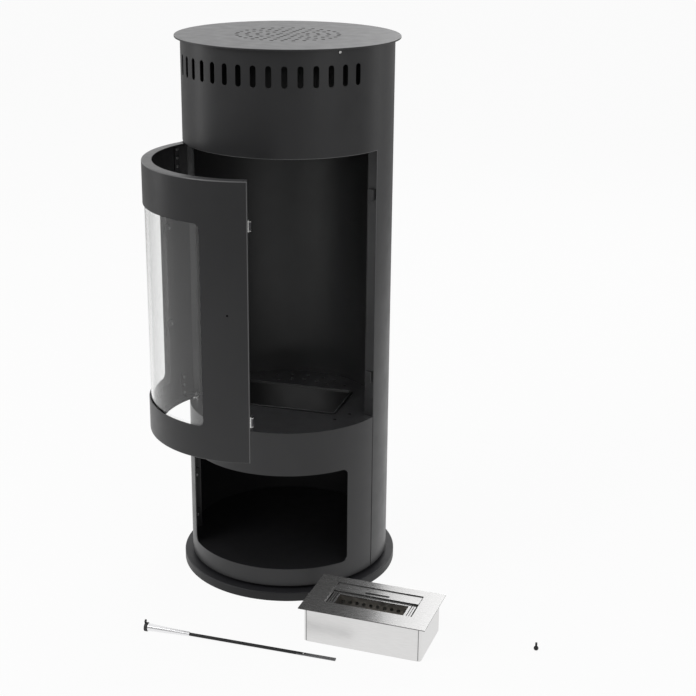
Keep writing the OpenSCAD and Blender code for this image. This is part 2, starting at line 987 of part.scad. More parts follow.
// Pin with a head on the lower tab
module bottom_hinge_pin() {
    tab_top = door_low + door_t + tab_t;
    color(steel)
        opened_door()
            translate([pivot_x, pivot_y, 0]) {
                translate([0, 0, floor_low - pin_past_bush])
                    cylinder(d = pin_d, h = tab_top - floor_low + pin_past_bush, $fn = 48);
                translate([0, 0, tab_top])
                    cylinder(d = pin_head_d, h = pin_head_h, $fn = 48);
            }
}

// Flat seal between the door's sheet and the glass
module glass_seal() {
    edge_a = arc_a(seal_edge, glass_r);
    color([0.2, 0.2, 0.2])
        opened_door()
            difference() {
                sector(glass_r + seat_gap, seal_r, glass_low, glass_top, -glass_half_a, glass_half_a);
                sector(glass_r - over, seal_r + over, window_low - seal_edge, window_top + seal_edge,
                    -half_window_a - edge_a, half_window_a + edge_a);
            }
}

// Curved glass behind the window
module door_glass() {
    color([0.8, 0.87, 0.88, 0.35])
        opened_door()
            sector(glass_in_r, glass_r, glass_low, glass_top, -glass_half_a, glass_half_a);
}

// One clip beside the glass: a finger over its edge and a foot on the door's sheet
module side_clip(side, z) {
    lap_a = glass_half_a - arc_a(clip_lap, glass_in_r);
    foot_a = glass_half_a + arc_a(clip_foot, glass_in_r);
    near_a = glass_half_a + arc_a(clip_foot_gap, glass_in_r);
    finger_r = glass_in_r - seat_gap;
    sector(finger_r - clip_t, finger_r, z - clip_w / 2, z + clip_w / 2,
        side > 0 ? lap_a : -foot_a, side > 0 ? foot_a : -lap_a);
    sector(finger_r - clip_t / 2, seal_r, z - clip_w / 2, z + clip_w / 2,
        side > 0 ? near_a : -foot_a, side > 0 ? foot_a : -near_a);
}

// One clip above or below the glass
module band_clip(side, a) {
    edge_z = side > 0 ? glass_top : glass_low;
    lap_z = edge_z - side * clip_lap;
    foot_z = edge_z + side * clip_foot;
    near_z = edge_z + side * clip_foot_gap;
    finger_r = glass_in_r - seat_gap;
    sector(finger_r - clip_t, finger_r, min(lap_z, foot_z), max(lap_z, foot_z),
        a - clip_half_a, a + clip_half_a);
    sector(finger_r - clip_t / 2, seal_r, min(near_z, foot_z), max(near_z, foot_z),
        a - clip_half_a, a + clip_half_a);
}

// Heights of the clips beside the glass
function side_clip_zs() = [for (share = side_clip_shares) window_low + share * (window_top - window_low)];

// Clips that hold the glass
module glass_clips() {
    color(dark)
        opened_door()
            difference() {
                union()
                    for (side = [-1, 1]) {
                        for (z = side_clip_zs())
                            side_clip(side, z);
                        for (share = band_clip_shares)
                            band_clip(side, share * half_window_a);
                    }
                clip_rods(glass_in_r - 2 * clip_t, door_r - door_t / 2, screw_d);
            }
}

// Rods on the axes of the clips' screws
module clip_rods(r_in, r_out, d) {
    reach = (clip_foot_gap + clip_foot) / 2;
    reach_a = arc_a(reach, glass_in_r);
    for (side = [-1, 1]) {
        for (z = side_clip_zs())
            radial_rod(r_in, r_out, z, side * (glass_half_a + reach_a), d);
        for (share = band_clip_shares)
            radial_rod(r_in, r_out, side > 0 ? glass_top + reach : glass_low - reach,
                share * half_window_a, d);
    }
}

// Screws of the glass clips
module clip_screws() {
    head_r = glass_in_r - seat_gap - clip_t;
    color(zinc)
        opened_door() {
            clip_rods(head_r - screw_head_h, seal_r, screw_d - seat_gap);
            clip_rods(head_r - screw_head_h, head_r - head_gap, screw_head_d);
        }
}

// Bright magnet catches on the door's free flange
module magnet_catches() {
    color(zinc)
        opened_door()
            for (z = [catch_low_z, catch_high_z])
                at_azimuth(half_door_a)
                    translate([catch_in_r, 0, z - catch_h / 2])
                        cube([catch_w, magnet_t, catch_h]);
}

// Door knob with its stud, standing on the floor on its head
module door_knob() {
    color(dark)
        translate([knob_x, knob_y, 0]) {
            difference() {
                translate([0, 0, knob_h / 2])
                    sphere(d = knob_d, $fn = 48);
                translate([-knob_d, -knob_d, -knob_d])
                    cube([2 * knob_d, 2 * knob_d, knob_d]);
                translate([-knob_d, -knob_d, knob_h])
                    cube([2 * knob_d, 2 * knob_d, knob_d]);
            }
            translate([0, 0, knob_h])
                cylinder(d = stud_d, h = stud_len, $fn = 32);
        }
}

// Open fuel tank of the burner
module burner_tank() {
    color(steel)
        placed_burner()
            difference() {
                round_block(tank_w, tank_d, burner_plate_low, tank_corner);
                translate([0, 0, tank_t])
                    round_block(tank_w - 2 * tank_t, tank_d - 2 * tank_t, burner_h, tank_corner - tank_t);
            }
}

// Top plate of the burner
module burner_plate() {
    color(steel)
        placed_burner()
            difference() {
                translate([-burner_w / 2, -burner_d / 2, burner_plate_low])
                    cube([burner_w, burner_d, burner_plate_t]);
                translate([-recess_w / 2, recess_front, burner_plate_low - over])
                    cube([recess_w, recess_d, burner_plate_t + 2 * over]);
            }
}

// Frame under the opening, whose ledges guide the shutter
module recess_frame() {
    frame_w = recess_w + 2 * frame_side;
    frame_front = recess_front - frame_side;
    color(steel)
        placed_burner()
            difference() {
                translate([-frame_w / 2, frame_front, trough_top])
                    cube([frame_w, frame_back - frame_front, burner_plate_low - trough_top]);
                translate([-recess_w / 2, recess_front, ledge_top])
                    cube([recess_w, frame_back + over - recess_front, burner_h]);
                translate([-trough_w / 2 + trough_t, trough_front + trough_t, trough_top - over])
                    cube([trough_w - 2 * trough_t, trough_d - 2 * trough_t, burner_h]);
            }
}

// Trough that holds the flames, with a row of holes in its back wall and in its floor
module fire_trough() {
    step = trough_w / trough_hole_count;
    color([0.45, 0.43, 0.38])
        placed_burner()
            difference() {
                translate([-trough_w / 2, trough_front, trough_low])
                    cube([trough_w, trough_d, trough_h]);
                translate([-trough_w / 2 + trough_t, trough_front + trough_t, trough_low + trough_t])
                    cube([trough_w - 2 * trough_t, trough_d - 2 * trough_t, trough_h]);
                for (i = [0 : trough_hole_count - 1])
                    translate([(i + 1 / 2) * step - trough_w / 2, 0, 0]) {
                        translate([0, trough_back + over, trough_low + trough_h / 2])
                            rotate([90, 0, 0])
                                cylinder(d = trough_hole_d, h = trough_t + 2 * over, $fn = 24);
                        translate([0, trough_front + trough_d / 2, trough_low - over])
                            cylinder(d = trough_hole_d, h = trough_t + 2 * over, $fn = 24);
                    }
            }
}

// Fibre block that soaks up the fuel below the trough
module absorbent_wool() {
    wool_w = tank_w - 2 * tank_t - 2 * wool_gap;
    wool_d = tank_d - 2 * tank_t - 2 * wool_gap;
    color([0.93, 0.92, 0.88])
        placed_burner()
            translate([0, 0, tank_t])
                round_block(wool_w, wool_d, trough_low - tank_t, tank_corner - tank_t);
}

// Sliding shutter with its finger slit
module burner_shutter() {
    color(steel)
        placed_burner()
            difference() {
                translate([-shutter_w / 2, shutter_front, shutter_low])
                    cube([shutter_w, shutter_d, shutter_t]);
                translate([-slit_w / 2, shutter_front + slit_inset, shutter_low - over])
                    cube([slit_w, slit_d, shutter_t + 2 * over]);
            }
}

// Dark end cap of the operating hook, with a small hanging eye
module hook_cap() {
    color(dark)
        placed_hook()
            rotate([0, 90, 0])
                difference() {
                    union() {
                        cylinder(d = cap_d, h = cap_t, $fn = 48);
                        translate([-eye_reach, 0, 0])
                            cylinder(d = eye_d, h = eye_t, $fn = 32);
                    }
                    translate([-eye_reach, 0, -over])
                        cylinder(d = eye_hole_d, h = eye_t + 2 * over, $fn = 32);
                }
}

// Tapered steel handle
module hook_handle() {
    color(zinc)
        placed_hook()
            translate([cap_t, 0, 0])
                rotate([0, 90, 0])
                    difference() {
                        cylinder(d1 = handle_d, d2 = handle_tip_d, h = handle_len, $fn = 48);
                        translate([0, 0, handle_len - rod_grip])
                            cylinder(d = rod_d + 2 * seat_gap, h = rod_grip + over, $fn = 32);
                    }
}

// Dark rod with a slot for the blade
module hook_rod() {
    color(dark)
        placed_hook()
            translate([cap_t + handle_len, 0, 0])
                difference() {
                    translate([-rod_grip, 0, 0])
                        rotate([0, 90, 0])
                            cylinder(d = rod_d, h = rod_grip + rod_len, $fn = 32);
                    translate([rod_len - blade_grip, -rod_d, -blade_t / 2])
                        cube([blade_grip + over, 2 * rod_d, blade_t]);
                }
}

// Flat steel blade that moves the burner's shutter
module hook_blade() {
    color(steel)
        placed_hook()
            translate([cap_t + handle_len + rod_len - blade_grip, -blade_w / 2, -blade_t / 2])
                cube([blade_grip + blade_len, blade_w, blade_t]);
}

base_plinth();
foot_ring();
base_screws();
storage_floor();
rear_shell();
drum_shell();
jamb_flanges();
header_flange();
front_panel();
panel_brackets();
panel_screws();
firebox_floor();
burner_seat();
firebox_liner();
firebox_ceiling();
deflector_spacers();
heat_deflector();
lid_collar();
top_lid();
lid_screws();
top_pivot_bush();
bottom_pivot_bush();
strike_pads();
door_skin();
door_top_rim();
door_bottom_rim();
door_free_flange();
top_hinge_bracket();
bottom_hinge_bracket();
hinge_screws();
top_hinge_pin();
bottom_hinge_pin();
glass_seal();
door_glass();
glass_clips();
clip_screws();
magnet_catches();
door_knob();
burner_tank();
burner_plate();
recess_frame();
fire_trough();
absorbent_wool();
burner_shutter();
hook_cap();
hook_handle();
hook_rod();
hook_blade();
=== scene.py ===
"""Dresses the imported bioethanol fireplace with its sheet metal, glass, fittings and finishes.

Sizes are in millimetres and angles in degrees, unless a name says otherwise. Azimuths are
measured from the front (-Y), positive towards +X, as in the part's own source. A curved sheet
is cut and folded flat, as x along its outer face, y the depth behind it and z the height, and
is then rolled about an upright axis.
"""

import logging
import math
from contextlib import contextmanager
from dataclasses import dataclass
from enum import Enum
from typing import Callable, Iterator, Sequence

import bmesh
import bpy
from mathutils import Matrix, Vector


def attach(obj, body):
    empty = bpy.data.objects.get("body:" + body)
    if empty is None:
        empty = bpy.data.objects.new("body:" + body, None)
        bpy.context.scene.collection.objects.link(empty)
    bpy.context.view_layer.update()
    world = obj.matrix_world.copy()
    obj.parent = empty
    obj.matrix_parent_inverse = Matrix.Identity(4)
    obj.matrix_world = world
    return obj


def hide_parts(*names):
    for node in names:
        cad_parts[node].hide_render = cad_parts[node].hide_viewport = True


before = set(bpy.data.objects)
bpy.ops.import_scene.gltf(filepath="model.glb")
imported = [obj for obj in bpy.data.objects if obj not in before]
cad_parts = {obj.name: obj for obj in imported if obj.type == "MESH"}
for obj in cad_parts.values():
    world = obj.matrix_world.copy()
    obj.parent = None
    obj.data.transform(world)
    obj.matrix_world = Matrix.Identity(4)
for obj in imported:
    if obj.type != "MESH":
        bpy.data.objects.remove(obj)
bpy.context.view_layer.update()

logging.basicConfig(level=logging.INFO, format="%(message)s")
log = logging.getLogger("fireplace")

Piece = bpy.types.Object
Socket = bpy.types.NodeSocket
Colour = tuple[float, float, float]
Point = Sequence[float]
# Takes a face's centre and normal or an edge's two ends
Test = Callable[[Vector, Vector], bool]

MM = 0.001
X, Y, Z = range(3)
# Distance within which a point counts as lying on a line or a face
NEAR = 0.05
# Overrun of a cutter past what it cuts
OVER = 2.0
# Part of a normal along an axis from which a face counts as looking that way
FACING = 0.9
# The middle of a noise's values
NOISE_LOW, NOISE_HIGH = 0.3, 0.7
# Parts of a normal along +Z at which the colour of level faces begins to show and shows fully: painted
# light on level coat, and the end of painted shade on the sides of metal
SLOPE_START, SLOPE_FULL = 0.35, 0.9
# Angle between two upright cuts of a sheet that is rolled
ROLL_STEP = 2.25
# Angle above which an edge stays sharp in the shading
SHARP = 40.0

# The rolled body and its front opening
BODY_RADIUS = 197.0
BODY_LOW = 24.5
SHEET = 2.0
FLANGE = 18.5
HALF_OPENING = 72.7
OPENING_TOP = 858.0
# The lower panel ends where the firebox floor lies
PANEL_TOP = 342.0

# The door, which is built shut and then turned open about its two pins
HALF_DOOR = 68.85
HALF_WINDOW = 43.9
WINDOW_LOW = 409.0
WINDOW_TOP = 776.0
DOOR_OPEN = 52.5
PIVOT = (-171.842, -67.982)
CATCH_RADIUS = 181.0
CATCH_ZS = (423.0, 776.0)

BURNER_TURN = -3.3


class Body(Enum):
    """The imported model's moving bodies."""

    STOVE = "stove"
    DOOR = "door"
    BURNER = "burner"
    SHUTTER = "shutter"
    HOOK = "hook"
    KNOB = "knob"


# The bench


def clear_selection() -> None:
    """Deselects everything, because the loaded frame leaves its nodes selected."""
    bpy.ops.object.select_all(action="DESELECT")


def activate(piece: Piece) -> None:
    """Makes a piece the only selected and the active object.

    Args:
        piece: the piece.
    """
    clear_selection()
    piece.select_set(True)
    bpy.context.view_layer.objects.active = piece


@contextmanager
def editing(piece: Piece) -> Iterator[None]:
    """Opens a piece in edit mode with nothing selected.

    Args:
        piece: the mesh object to edit.
    """
    activate(piece)
    bpy.ops.object.mode_set(mode="EDIT")
    bpy.ops.mesh.select_all(action="DESELECT")
    yield
    bpy.ops.object.mode_set(mode="OBJECT")


def pick(piece: Piece, kind: str, test: Test) -> bool:
    """Selects the faces or the edges of the edited piece that pass a test.

    Args:
        piece: the object in edit mode.
        kind: FACE or EDGE.
        test: takes a face's centre and normal or an edge's two ends.

    Returns:
        Whether anything was selected.
    """
    bpy.ops.mesh.select_mode(type=kind)
    mesh = bmesh.from_edit_mesh(piece.data)
    if kind == "FACE":
        picked = [f for f in mesh.faces if test(f.calc_center_median() / MM, f.normal)]
    else:
        picked = [e for e in mesh.edges if test(*(v.co / MM for v in e.verts))]
    for part in picked:
        part.select_set(True)
    bmesh.update_edit_mesh(piece.data)
    return bool(picked)


def runs_along(a: Vector, b: Vector, axis: int) -> bool:
    """Tells whether the edge between two points runs along an axis."""
    return all(abs(a[i] - b[i]) < NEAR for i in range(3) if i != axis)


def is_level(a: Vector, b: Vector) -> bool:
    """Tells whether the edge between two points is level."""
    return abs(a.z - b.z) < NEAR


def settle(piece: Piece) -> Piece:
    """Moves a piece's place, turn and scale into its mesh.

    Args:
        piece: the piece.

    Returns:
        The piece.
    """
    activate(piece)
    bpy.ops.object.transform_apply(location=True, rotation=True, scale=True)
    return piece


def block(name: str, low: Point, high: Point) -> Piece:
    """Adds a box.

    Args:
        name: the piece's name.
        low: its lowest corner.
        high: its highest corner.

    Returns:
        The new object.
    """
    clear_selection()
    middle = [(a + b) / 2 * MM for a, b in zip(low, high)]
    bpy.ops.mesh.primitive_cube_add(size=1.0, location=middle)
    piece = bpy.context.object
    piece.name = name
    piece.scale = [(b - a) * MM for a, b in zip(low, high)]
    return settle(piece)


def rod(
    name: str,
    radius: float,
    low: float,
    high: float,
    sides: int = 48,
    centre: tuple[float, float] = (0.0, 0.0),
    tip_radius: float | None = None,
) -> Piece:
    """Adds an upright cylinder or cone.

    Args:
        name: the piece's name.
        radius: its radius at the lower end.
        low: the height of its lower end.
        high: the height of its upper end.
        sides: the number of its sides.
        centre: the place of its axis.
        tip_radius: its radius at the upper end, if that differs.

    Returns:
        The new object.
    """
    clear_selection()
    bpy.ops.mesh.primitive_cone_add(
        vertices=sides,
        radius1=radius * MM,
        radius2=(radius if tip_radius is None else tip_radius) * MM,
        depth=(high - low) * MM,
        end_fill_type="NGON",
        location=(centre[0] * MM, centre[1] * MM, (low + high) / 2 * MM),
    )
    piece = bpy.context.object
    piece.name = name
    return settle(piece)


def placed(piece: Piece, matrix: Matrix) -> Piece:
    """Moves a piece's mesh.

    Args:
        piece: the piece.
        matrix: the move, with its lengths in metres.

    Returns:
        The piece.
    """
    piece.data.transform(matrix)
    piece.data.update()
    return piece


def shift(x: float = 0.0, y: float = 0.0, z: float = 0.0) -> Matrix:
    """Returns a move by three lengths."""
    return Matrix.Translation(Vector((x, y, z)) * MM)


def turn(angle: float, axis: str) -> Matrix:
    """Returns a turn about one of the axes."""
    return Matrix.Rotation(math.radians(angle), 4, axis)


def at_azimuth(azimuth: float, radius: float = 0.0, z: float = 0.0) -> Matrix:
    """Returns a move to an azimuth, a radius and a height, with +X along the radius."""
    return turn(azimuth - 90, "Z") @ shift(radius, 0, z)


def arc(azimuth: float, radius: float = BODY_RADIUS) -> float:
    """Returns the length of an arc from the front to an azimuth."""
    return radius * math.radians(azimuth)


def joined(pieces: Sequence[Piece], name: str) -> Piece:
    """Joins several pieces into one object.

    Args:
        pieces: the pieces.
        name: the name of the joined object.

    Returns:
        The joined object.
    """
    clear_selection()
    for piece in pieces:
        piece.select_set(True)
    bpy.context.view_layer.objects.active = pieces[0]
    if len(pieces) > 1:
        bpy.ops.object.join()
    pieces[0].name = name
    return pieces[0]


def discard(piece: Piece) -> None:
    """Removes a piece that is no longer needed."""
    bpy.data.objects.remove(piece, do_unlink=True)


def twin(piece: Piece, matrix: Matrix) -> Piece:
    """Copies a piece with its own mesh and moves the copy.

    Args:
        piece: the piece.
        matrix: the copy's move.

    Returns:
        The copy.
    """
    copy = piece.copy()
    copy.data = piece.data.copy()
    bpy.context.collection.objects.link(copy)
    return placed(copy, matrix)


def repeated(pattern: Piece, places: Sequence[Matrix], name: str) -> Piece:
    """Copies a piece to all its places, removes it and joins the copies.

    Args:
        pattern: the piece, modelled once at the origin.
        places: the move of each copy.
        name: the name of the joined copies.

    Returns:
        The joined copies.
    """
    made = [twin(pattern, place) for place in places]
    discard(pattern)
    return joined(made, name)


def apply_modifier(piece: Piece, kind: str, **settings: object) -> Piece:
    """Adds a modifier to a piece and applies it.

    Args:
        piece: the piece.
        kind: the modifier's type.
        settings: its settings.

    Returns:
        The piece.
    """
    activate(piece)
    modifier = piece.modifiers.new(kind.lower(), kind)
    for name, value in settings.items():
        setattr(modifier, name, value)
    bpy.ops.object.modifier_apply(modifier=modifier.name)
    return piece


def combine(piece: Piece, others: Sequence[Piece], operation: str) -> Piece:
    """Cuts other shapes out of a piece or unites them with it, and removes them.

    Args:
        piece: the piece that is kept.
        others: closed shapes clear of each other.
        operation: DIFFERENCE or UNION.

    Returns:
        The piece.
    """
    other = joined(others, "cutter")
    apply_modifier(piece, "BOOLEAN", operation=operation, solver="EXACT", object=other)
    discard(other)
    return piece


def carve(piece: Piece, *cutters: Piece) -> Piece:
    """Cuts shapes out of a piece and removes them."""
    return combine(piece, cutters, "DIFFERENCE")


def bevel_edges(piece: Piece, test: Test, width: float, steps: int = 3) -> Piece:
    """Rounds the edges that pass a test.

    Args:
        piece: the piece.
        test: takes an edge's two ends.
        width: the width of the rounding.
        steps: its segments.

    Returns:
        The piece.
    """
    with editing(piece):
        if pick(piece, "EDGE", test):
            bpy.ops.mesh.bevel(
                offset=width * MM, offset_type="OFFSET", segments=steps, affect="EDGES"
            )
    return piece


def rounded_block(
    name: str, low: Point, high: Point, corner: float, axis: int, steps: int = 6
) -> Piece:
    """Adds a box with four round corners.

    Args:
        name: the piece's name.
        low: its lowest corner.
        high: its highest corner.
        corner: the radius of the corners.
        axis: the axis that the round edges follow.
        steps: the segments of each corner.

    Returns:
        The new object.
    """
    piece = block(name, low, high)
    return bevel_edges(piece, lambda a, b: runs_along(a, b, axis), corner, steps)


def cut_across(piece: Piece, lines: Sequence[tuple[int, float]]) -> Piece:
    """Adds cuts through the whole piece.

    Args:
        piece: the piece.
        lines: for each cut, the axis it is square to and its place on that axis.

    Returns:
        The piece.
    """
    with editing(piece):
        for axis, place in lines:
            normal = [float(i == axis) for i in range(3)]
            point = [place * MM * part for part in normal]
            bpy.ops.mesh.select_all(action="SELECT")
            bpy.ops.mesh.bisect(plane_co=point, plane_no=normal)
    return piece


def pull_faces(piece: Piece, test: Test, move: Point, rim: float = 0.0) -> Piece:
    """Extrudes the faces that pass a test, or what a rim on them encloses.

    Args:
        piece: the piece.
        test: takes a face's centre and its normal.
        move: the move of the extruded faces.
        rim: the width of the rim that is left, if there is one.

    Returns:
        The piece.
    """
    with editing(piece):
        if pick(piece, "FACE", test):
            if rim:
                bpy.ops.mesh.inset(thickness=rim * MM, depth=0.0)
            bpy.ops.mesh.extrude_region_move(
                TRANSFORM_OT_translate={"value": [m * MM for m in move]}
            )
    return piece


def remove_faces(piece: Piece, test: Test) -> Piece:
    """Deletes the faces that pass a test.

    Args:
        piece: the piece.
        test: takes a face's centre and its normal.

    Returns:
        The piece.
    """
    with editing(piece):
        if pick(piece, "FACE", test):
            bpy.ops.mesh.delete(type="FACE")
    return piece


def soften(piece: Piece, width: float, steps: int = 2) -> Piece:
    """Rounds all of a piece's sharp edges."""
    return apply_modifier(
        piece,
        "BEVEL",
        width=width * MM,
        segments=steps,
        limit_method="ANGLE",
        angle_limit=math.radians(SHARP),
        use_clamp_overlap=False,
    )


def thicken(piece: Piece, thickness: float) -> Piece:
    """Gives an open sheet its thickness, inwards from its faces."""
    return apply_modifier(
        piece, "SOLIDIFY", thickness=thickness * MM, offset=-1.0, use_even_offset=True
    )


def smooth(piece: Piece, limit: float = SHARP) -> Piece:
    """Shades a piece smooth up to an angle, with normals weighted by face area.

    Args:
        piece: the piece.
        limit: the angle.

    Returns:
        The piece.
    """
    activate(piece)
    bpy.ops.object.shade_smooth_by_angle(angle=math.radians(limit))
    return apply_modifier(piece, "WEIGHTED_NORMAL", keep_sharp=True)


def roll_up(piece: Piece, radius: float = BODY_RADIUS) -> Piece:
    """Cuts a flat sheet into narrow strips and rolls it about the upright axis.

    Args:
        piece: the flat sheet, whose x runs along the rolled outer face.
        radius: the outer radius of the roll.

    Returns:
        The rolled piece.
    """
    xs = [v.co.x / MM for v in piece.data.vertices]
    low, high = min(xs), max(xs)
    step = arc(ROLL_STEP, radius)
    first = math.ceil(low / step + NEAR)
    last = math.floor(high / step - NEAR)
    cut_across(piece, [(X, k * step) for k in range(first, last + 1)])
    bend = (high - low) / radius
    apply_modifier(piece, "SIMPLE_DEFORM", deform_method="BEND", deform_axis="Z", angle=bend)
    return placed(piece, shift(y=-radius))


def mark_folds(piece: Piece, depth: float, ends: Callable[[float, float], bool]) -> Piece:
    """Marks the middle of a rolled sheet's folded edges, which get a lighter colour as a painted
    highlight.

    Args:
        piece: the rolled sheet, before it is moved.
        depth: the size of the fold's rounding.
        ends: takes a point's azimuth and height and tells whether a fold passes there.

    Returns:
        The piece.
    """
    margin = 0.08 * depth
    fold_highlight = piece.data.attributes.new("fold_highlight", "FLOAT", "POINT")
    for vertex, mark in zip(piece.data.vertices, fold_highlight.data):
        x, y, z = vertex.co / MM
        inward = BODY_RADIUS - math.hypot(x, y)
        azimuth = math.degrees(math.atan2(x, -y))
        if margin < inward < depth - margin and ends(azimuth, z):
            mark.value = 1.0
    return piece


def merge_seam(piece: Piece) -> Piece:
    """Merges the two edges that meet where a rolled sheet closes.

    Args:
        piece: the rolled sheet.

    Returns:
        The sheet.
    """
    with editing(piece):
        bpy.ops.mesh.select_all(action="SELECT")
        bpy.ops.mesh.remove_doubles(threshold=NEAR * MM)
        bpy.ops.mesh.normals_make_consistent(inside=False)
    return piece


# The finishes


def rgba(colour: Colour, level: float = 1.0) -> tuple[float, ...]:
    """Returns a colour made lighter or darker, with full alpha."""
    return (*(min(1.0, c * level) for c in colour), 1.0)


WHITE = rgba((1, 1, 1))


class Tree:
    """The node tree of a new material or world, with short ways to add its nodes."""

    def __init__(self, owner: bpy.types.Material | bpy.types.World, output: str) -> None:
        """Starts an empty tree.

        Args:
            owner: the material or the world.
            output: the kind of its output node.
        """
        owner.use_nodes = True
        self.nodes = owner.node_tree.nodes
        self.links = owner.node_tree.links
        self.nodes.clear()
        self.output = self.add(output)

    def add(self, kind: str, inputs: dict | None = None, **settings: object) -> bpy.types.Node:
        """Adds a node.

        Args:
            kind: its type, without the words that all types start with.
            inputs: what its inputs get.
            settings: its own settings.

        Returns:
            The node.
        """
        node = self.nodes.new("ShaderNode" + kind)
        for name, value in settings.items():
            setattr(node, name, value)
        self.feed(node, inputs or {})
        return node

    def feed(self, node: bpy.types.Node, inputs: dict[str | int, object]) -> None:
        """Gives inputs of a node, by name or number, a constant or a socket to link.

        Args:
            node: the node.
            inputs: for each input, its constant or the socket that drives it.
        """
        for name, value in inputs.items():
            if isinstance(value, Socket):
                self.links.new(value, node.inputs[name])
            else:
                node.inputs[name].default_value = value

    def show(self, shader: bpy.types.Node) -> None:
        """Links a shader to the output."""
        self.feed(self.output, {"Surface": shader.outputs[0]})

    def place(self, stretch: Point = (1, 1, 1), angles: Point = (0, 0, 0)) -> Socket:
        """Adds object coordinates.

        Args:
            stretch: their scale along each axis.
            angles: their turn about each axis.

        Returns:
            The socket of the coordinates.
        """
        place = self.add("TexCoord").outputs["Object"]
        turns = [math.radians(a) for a in angles]
        mapping = self.add("Mapping", {"Vector": place, "Scale": stretch, "Rotation": turns})
        return mapping.outputs["Vector"]

    def noise(self, place: Socket, scale: float, detail: float = 2.0) -> Socket:
        """Adds a noise of a scale per metre."""
        inputs = {"Vector": place, "Scale": scale, "Detail": detail}
        return self.add("TexNoise", inputs).outputs["Fac"]

    def ramp(self, value: Socket, start: float, end: float, low: float = 0, high: float = 1) -> Socket:
        """Maps the values from start to end to the range from low to high."""
        inputs = {"Value": value, "From Min": start, "From Max": end, "To Min": low, "To Max": high}
        return self.add("MapRange", inputs).outputs["Result"]

    def spread(self, noise: Socket, low: float, high: float) -> Socket:
        """Maps the middle of a noise to a range of values."""
        return self.ramp(noise, NOISE_LOW, NOISE_HIGH, low, high)

    def mix(self, factor: Socket, low: object, high: object) -> Socket:
        """Mixes two colours, each a constant or a socket."""
        return self.add("Mix", {"Factor": factor, 6: low, 7: high}, data_type="RGBA").outputs[2]

    def tones(self, noise: Socket, colour: Colour, variation: float, level: float = 1.0) -> Socket:
        """Varies a colour by a noise.

        Args:
            noise: the noise.
            colour: the colour.
            variation: the share by which it gets darker and lighter.
            level: a factor on the colour.

        Returns:
            The socket of the varied colour.
        """
        low, high = (rgba(colour, level * (1 + side * variation)) for side in (-1, 1))
        return self.mix(self.spread(noise, 0.0, 1.0), low, high)

    def by_slope(self, upright: Socket, level: Socket) -> Socket:
        """Blends from one colour on upright faces to another on faces that look up, which paints light
        or shade by a face's slope.
        """
        normal = self.add("SeparateXYZ", {0: self.add("TexCoord").outputs["Normal"]})
        slope = self.ramp(normal.outputs["Z"], SLOPE_START, SLOPE_FULL)
        return self.mix(slope, upright, level)

    def fold_highlight(self, colour: Socket, edge: Colour) -> Socket:
        """Blends a colour with a lighter one, a painted highlight, where a sheet's folds are marked.
        """
        mark = self.add("Attribute", attribute_name="fold_highlight")
        return self.mix(mark.outputs["Fac"], colour, rgba(edge))

    def bump(self, value: Socket, depth: float) -> Socket:
        """Adds a normal raised by a value, by a depth in millimetres."""
        inputs = {"Strength": 1.0, "Distance": depth * MM, "Height": value}
        return self.add("Bump", inputs).outputs["Normal"]

    def larger(self, first: Socket, second: Socket) -> Socket:
        """Returns the larger of two values."""
        return self.add("Math", {0: first, 1: second}, operation="MAXIMUM").outputs[0]

    def seen(self, *rays: str) -> Socket:
        """Adds a value of 1 for some kinds of rays and 0 for the others.

        Args:
            rays: the names of the kinds of rays.

        Returns:
            The socket of the value.
        """
        path = self.add("LightPath")
        value = path.outputs[rays[0]]
        for name in rays[1:]:
            value = self.larger(value, path.outputs[name])
        return value


@dataclass(frozen=True)
class Finish:
    """What all finishes share: their names, a colour and a roughness."""

    name: str
    slot: str
    colour: Colour
    roughness: float

    def inputs(self, tree: Tree) -> dict[str, object]:
        """Returns what the inputs of the Principled shader get."""
        raise NotImplementedError

    def material(self) -> bpy.types.Material:
        """Builds the finish's material.

        Returns:
            The material.
        """
        material = bpy.data.materials.new(self.name)
        tree = Tree(material, "OutputMaterial")
        shader = tree.add("BsdfPrincipled")
        tree.feed(shader, self.inputs(tree))
        self.show(tree, shader)
        return material

    def show(self, tree: Tree, shader: bpy.types.Node) -> None:
        """Links the shader to the output."""
        tree.show(shader)


@dataclass(frozen=True)
class CoatFinish(Finish):
    """Paint or powder coat with a fine orange peel and faint marks, painted light on level faces and a
    painted highlight along marked folds.
    """

    peel_scale: float = 1400.0
    peel_depth: float = 0.02
    variation: float = 0.08
    specular: float = 0.5
    # Factor on the colour of faces that look up: painted light
    top_light: float = 1.0
    # Colour of the marked folds: a painted highlight
    edge: Colour = (0.11, 0.11, 0.112)

    def inputs(self, tree: Tree) -> dict[str, object]:
        """Adds the nodes of the coat.

        Args:
            tree: the material's tree.

        Returns:
            What the inputs of the Principled shader get.
        """
        place = tree.place()
        cloud = tree.noise(place, 7.0, 3.0)
        # Faces that look up get the lighter colour, a painted light
        clean, lit_top = [
            tree.tones(cloud, self.colour, self.variation, level) for level in (1.0, self.top_light)
        ]
        marks = tree.noise(place, 38.0, 4.0)
        return {
            "Base Color": tree.fold_highlight(tree.by_slope(clean, lit_top), self.edge),
            "Roughness": tree.spread(marks, self.roughness - 0.03, self.roughness + 0.04),
            "Normal": tree.bump(tree.noise(place, self.peel_scale), self.peel_depth),
            "Specular IOR Level": self.specular,
        }


